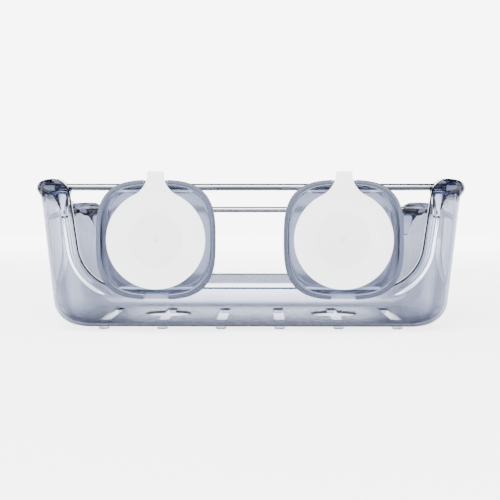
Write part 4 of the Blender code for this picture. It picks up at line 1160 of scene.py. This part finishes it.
def makeLever(name, x):
    # the side view drawn out along the pin, with a gap for the stem's eye and a bore for the pin
    s, z = leverSizes, unitSizes["centreZ"]
    half, gap, cam = s["width"] / 2, s["eyeHalfWidth"] + s["fit"], s["camLocked"]
    outline = leverOutline() + np.array([s["pinY"], z])
    lever = extruded(name, outline, (x - half, x + half), "x", leverPlastic, s["edge"], 4)
    low = (x - gap, s["pinY"] - cam * 2, z - s["eyeRadius"] - cam / 2)
    slot = roundedBox("gap", low, (x + gap, s["pinY"] + cam * 2, z + cam * 2))
    bore = boreTool("lever_bore", s["pinRadius"] + s["fit"], half + 1, (x, s["pinY"], z))
    return carve(lever, cuts=[slot, bore])


def makePin(name, x):
    s = leverSizes
    centre = (x, s["pinY"], unitSizes["centreZ"])
    return steelBar(name, s["pinRadius"], s["pinHalf"], s["chamfer"], 1, centre, pinSteel)


def makeWasher(name, x):
    # steel plate between the shell and the cam: a rectangle with rounded corners swept round the axis
    s = leverSizes
    back, front, bore = unitSizes["plateFront"] - s["fit"], s["plateFront"], s["stemRadius"] + s["fit"]
    corners = np.array([(s["plateRadius"], back), (s["plateRadius"], front), (bore, front), (bore, back)])
    profile = roundCorners(corners, s["plateEdge"], 3)
    profile = np.vstack([profile, profile[:1]])
    return turned(name, profile, (x, 0, unitSizes["centreZ"]), "y", pinSteel, 96, meshing["washerSharp"])


for hand, x in (("left", -unitSizes["offset"]), ("right", unitSizes["offset"])):
    settle(makeHousing(f"{hand}_shell", x), f"{hand}_unit", f"{hand}_housing")
    settle(makeWasher(f"{hand}_washer", x), f"{hand}_unit", f"{hand}_cam_plate")
    settle(makeCup(f"{hand}_cup_disc", x), f"{hand}_cup", f"{hand}_suction_cup")
    settle(makeStem(f"{hand}_cup_stem", x), f"{hand}_cup", f"{hand}_stem")
    settle(makePin(f"{hand}_pin", x), f"{hand}_cup", f"{hand}_lever_pin")
    settle(makeLever(f"{hand}_cam_lever", x), f"{hand}_lever", f"{hand}_lever")
    print(hand, "unit made")

# Stage, light and camera

stageSizes = {
    "floorHalf": 6.0, "floorBack": 2.3,
    "floorColours": ((0.93, 0.935, 0.945, 1), (0.9207, 0.92565, 0.93555, 1)), "floorGrain": 14.0,
    "floorRoughness": 0.75, "floorHaze": 0.05, "floorGlow": 3.6, "backColour": (1.0, 1.0, 1.0, 1),
    "wallSideColour": (0.05, 0.055, 0.07, 1), "topColour": (0.012, 0.013, 0.018, 1),
    "sideReach": (-0.92, -0.55), "topReach": (0.24, 0.36), "worldStrength": 7.5,
    "cameraPlace": (-0.0083, 0.716, 0.0871), "lens": 67.8, "sensor": 36.0, "nearest": 0.01,
    "pitch": 2.55, "yaw": 0.73,
}
lightSizes = {  # place, target, width and depth, power, spread in degrees, whether it shows in mirror images
    "back_light": ((0, -1.9, 1.5), (0, -1.9, 0), (4.4, 2.0), 130.0, 80, False),
    "key_light": ((0.30, 1.15, 1.45), (0, 0.1, 0.02), (2.2, 1.0), 80.0, 180, True),
    "card_light": ((0.1, 1.9, 0.75), (0, 0, 0.08), (2.6, 1.3), 46.0, 180, True),
}


def makeFloor():
    s = stageSizes
    half, back = s["floorHalf"], s["floorBack"]
    mesh = bpy.data.meshes.new("floor")
    corners = [(-half, -back, 0), (half, -back, 0), (half, half, 0), (-half, half, 0)]
    mesh.from_pydata(corners, [], [(0, 1, 2, 3)])
    floor = putIn("floor", mesh)
    finish = Finish("pale_floor")
    grain = finish.noise(s["floorGrain"])
    finish.shade(
        Base_Color=finish.blend(grain, *s["floorColours"]),
        Roughness=s["floorRoughness"] + grain * s["floorHaze"],
        Emission_Color=(1, 1, 1, 1),
        Emission_Strength=s["floorGlow"],
    )
    mesh.materials.append(finish.material)
    # kept out of mirror images, which would lay a pale veil over the dark parts of clear walls
    floor.visible_glossy = False


def softLight(name, place, target, size, power, spread, mirrored):
    data = bpy.data.lights.new(name, "AREA")
    data.shape = "RECTANGLE"
    data.size, data.size_y = size
    data.energy = power
    data.spread = math.radians(spread)
    lamp = putIn(name, data)
    lamp.location = place
    lamp.visible_glossy = mirrored
    lamp.rotation_euler = (Vector(target) - Vector(place)).to_track_quat("-Z", "Y").to_euler()


def studioWorld():
    # bright low down behind the basket and dark elsewhere: clear plastic lets the bright part through, and
    # its edges bend the view into the dark part and draw dark lines
    s = stageSizes
    world = bpy.data.worlds.new("studio")
    bpy.context.scene.world = world
    world.use_nodes = True
    studio = Tree(world.node_tree)
    _, across, up = studio.axes(studio.node("ShaderNodeTexCoord"))
    level = studio.blend(studio.ease(across, *s["sideReach"]), s["backColour"], s["wallSideColour"])
    back = studio.tree.nodes["Background"].inputs
    studio.feed(back["Color"], studio.blend(studio.ease(up, *s["topReach"]), level, s["topColour"]))
    studio.feed(back["Strength"], s["worldStrength"])


def makeCamera():
    s = stageSizes
    data = bpy.data.cameras.new("camera")
    data.lens, data.sensor_width, data.clip_start = s["lens"], s["sensor"], s["nearest"]
    camera = putIn("camera", data)
    camera.location = s["cameraPlace"]
    camera.rotation_euler = (math.radians(90 - s["pitch"]), 0, math.radians(180 + s["yaw"]))
    bpy.context.scene.camera = camera


makeFloor()
studioWorld()
for name, values in lightSizes.items():
    softLight(name, *values)
makeCamera()
print("stage, light and camera made")
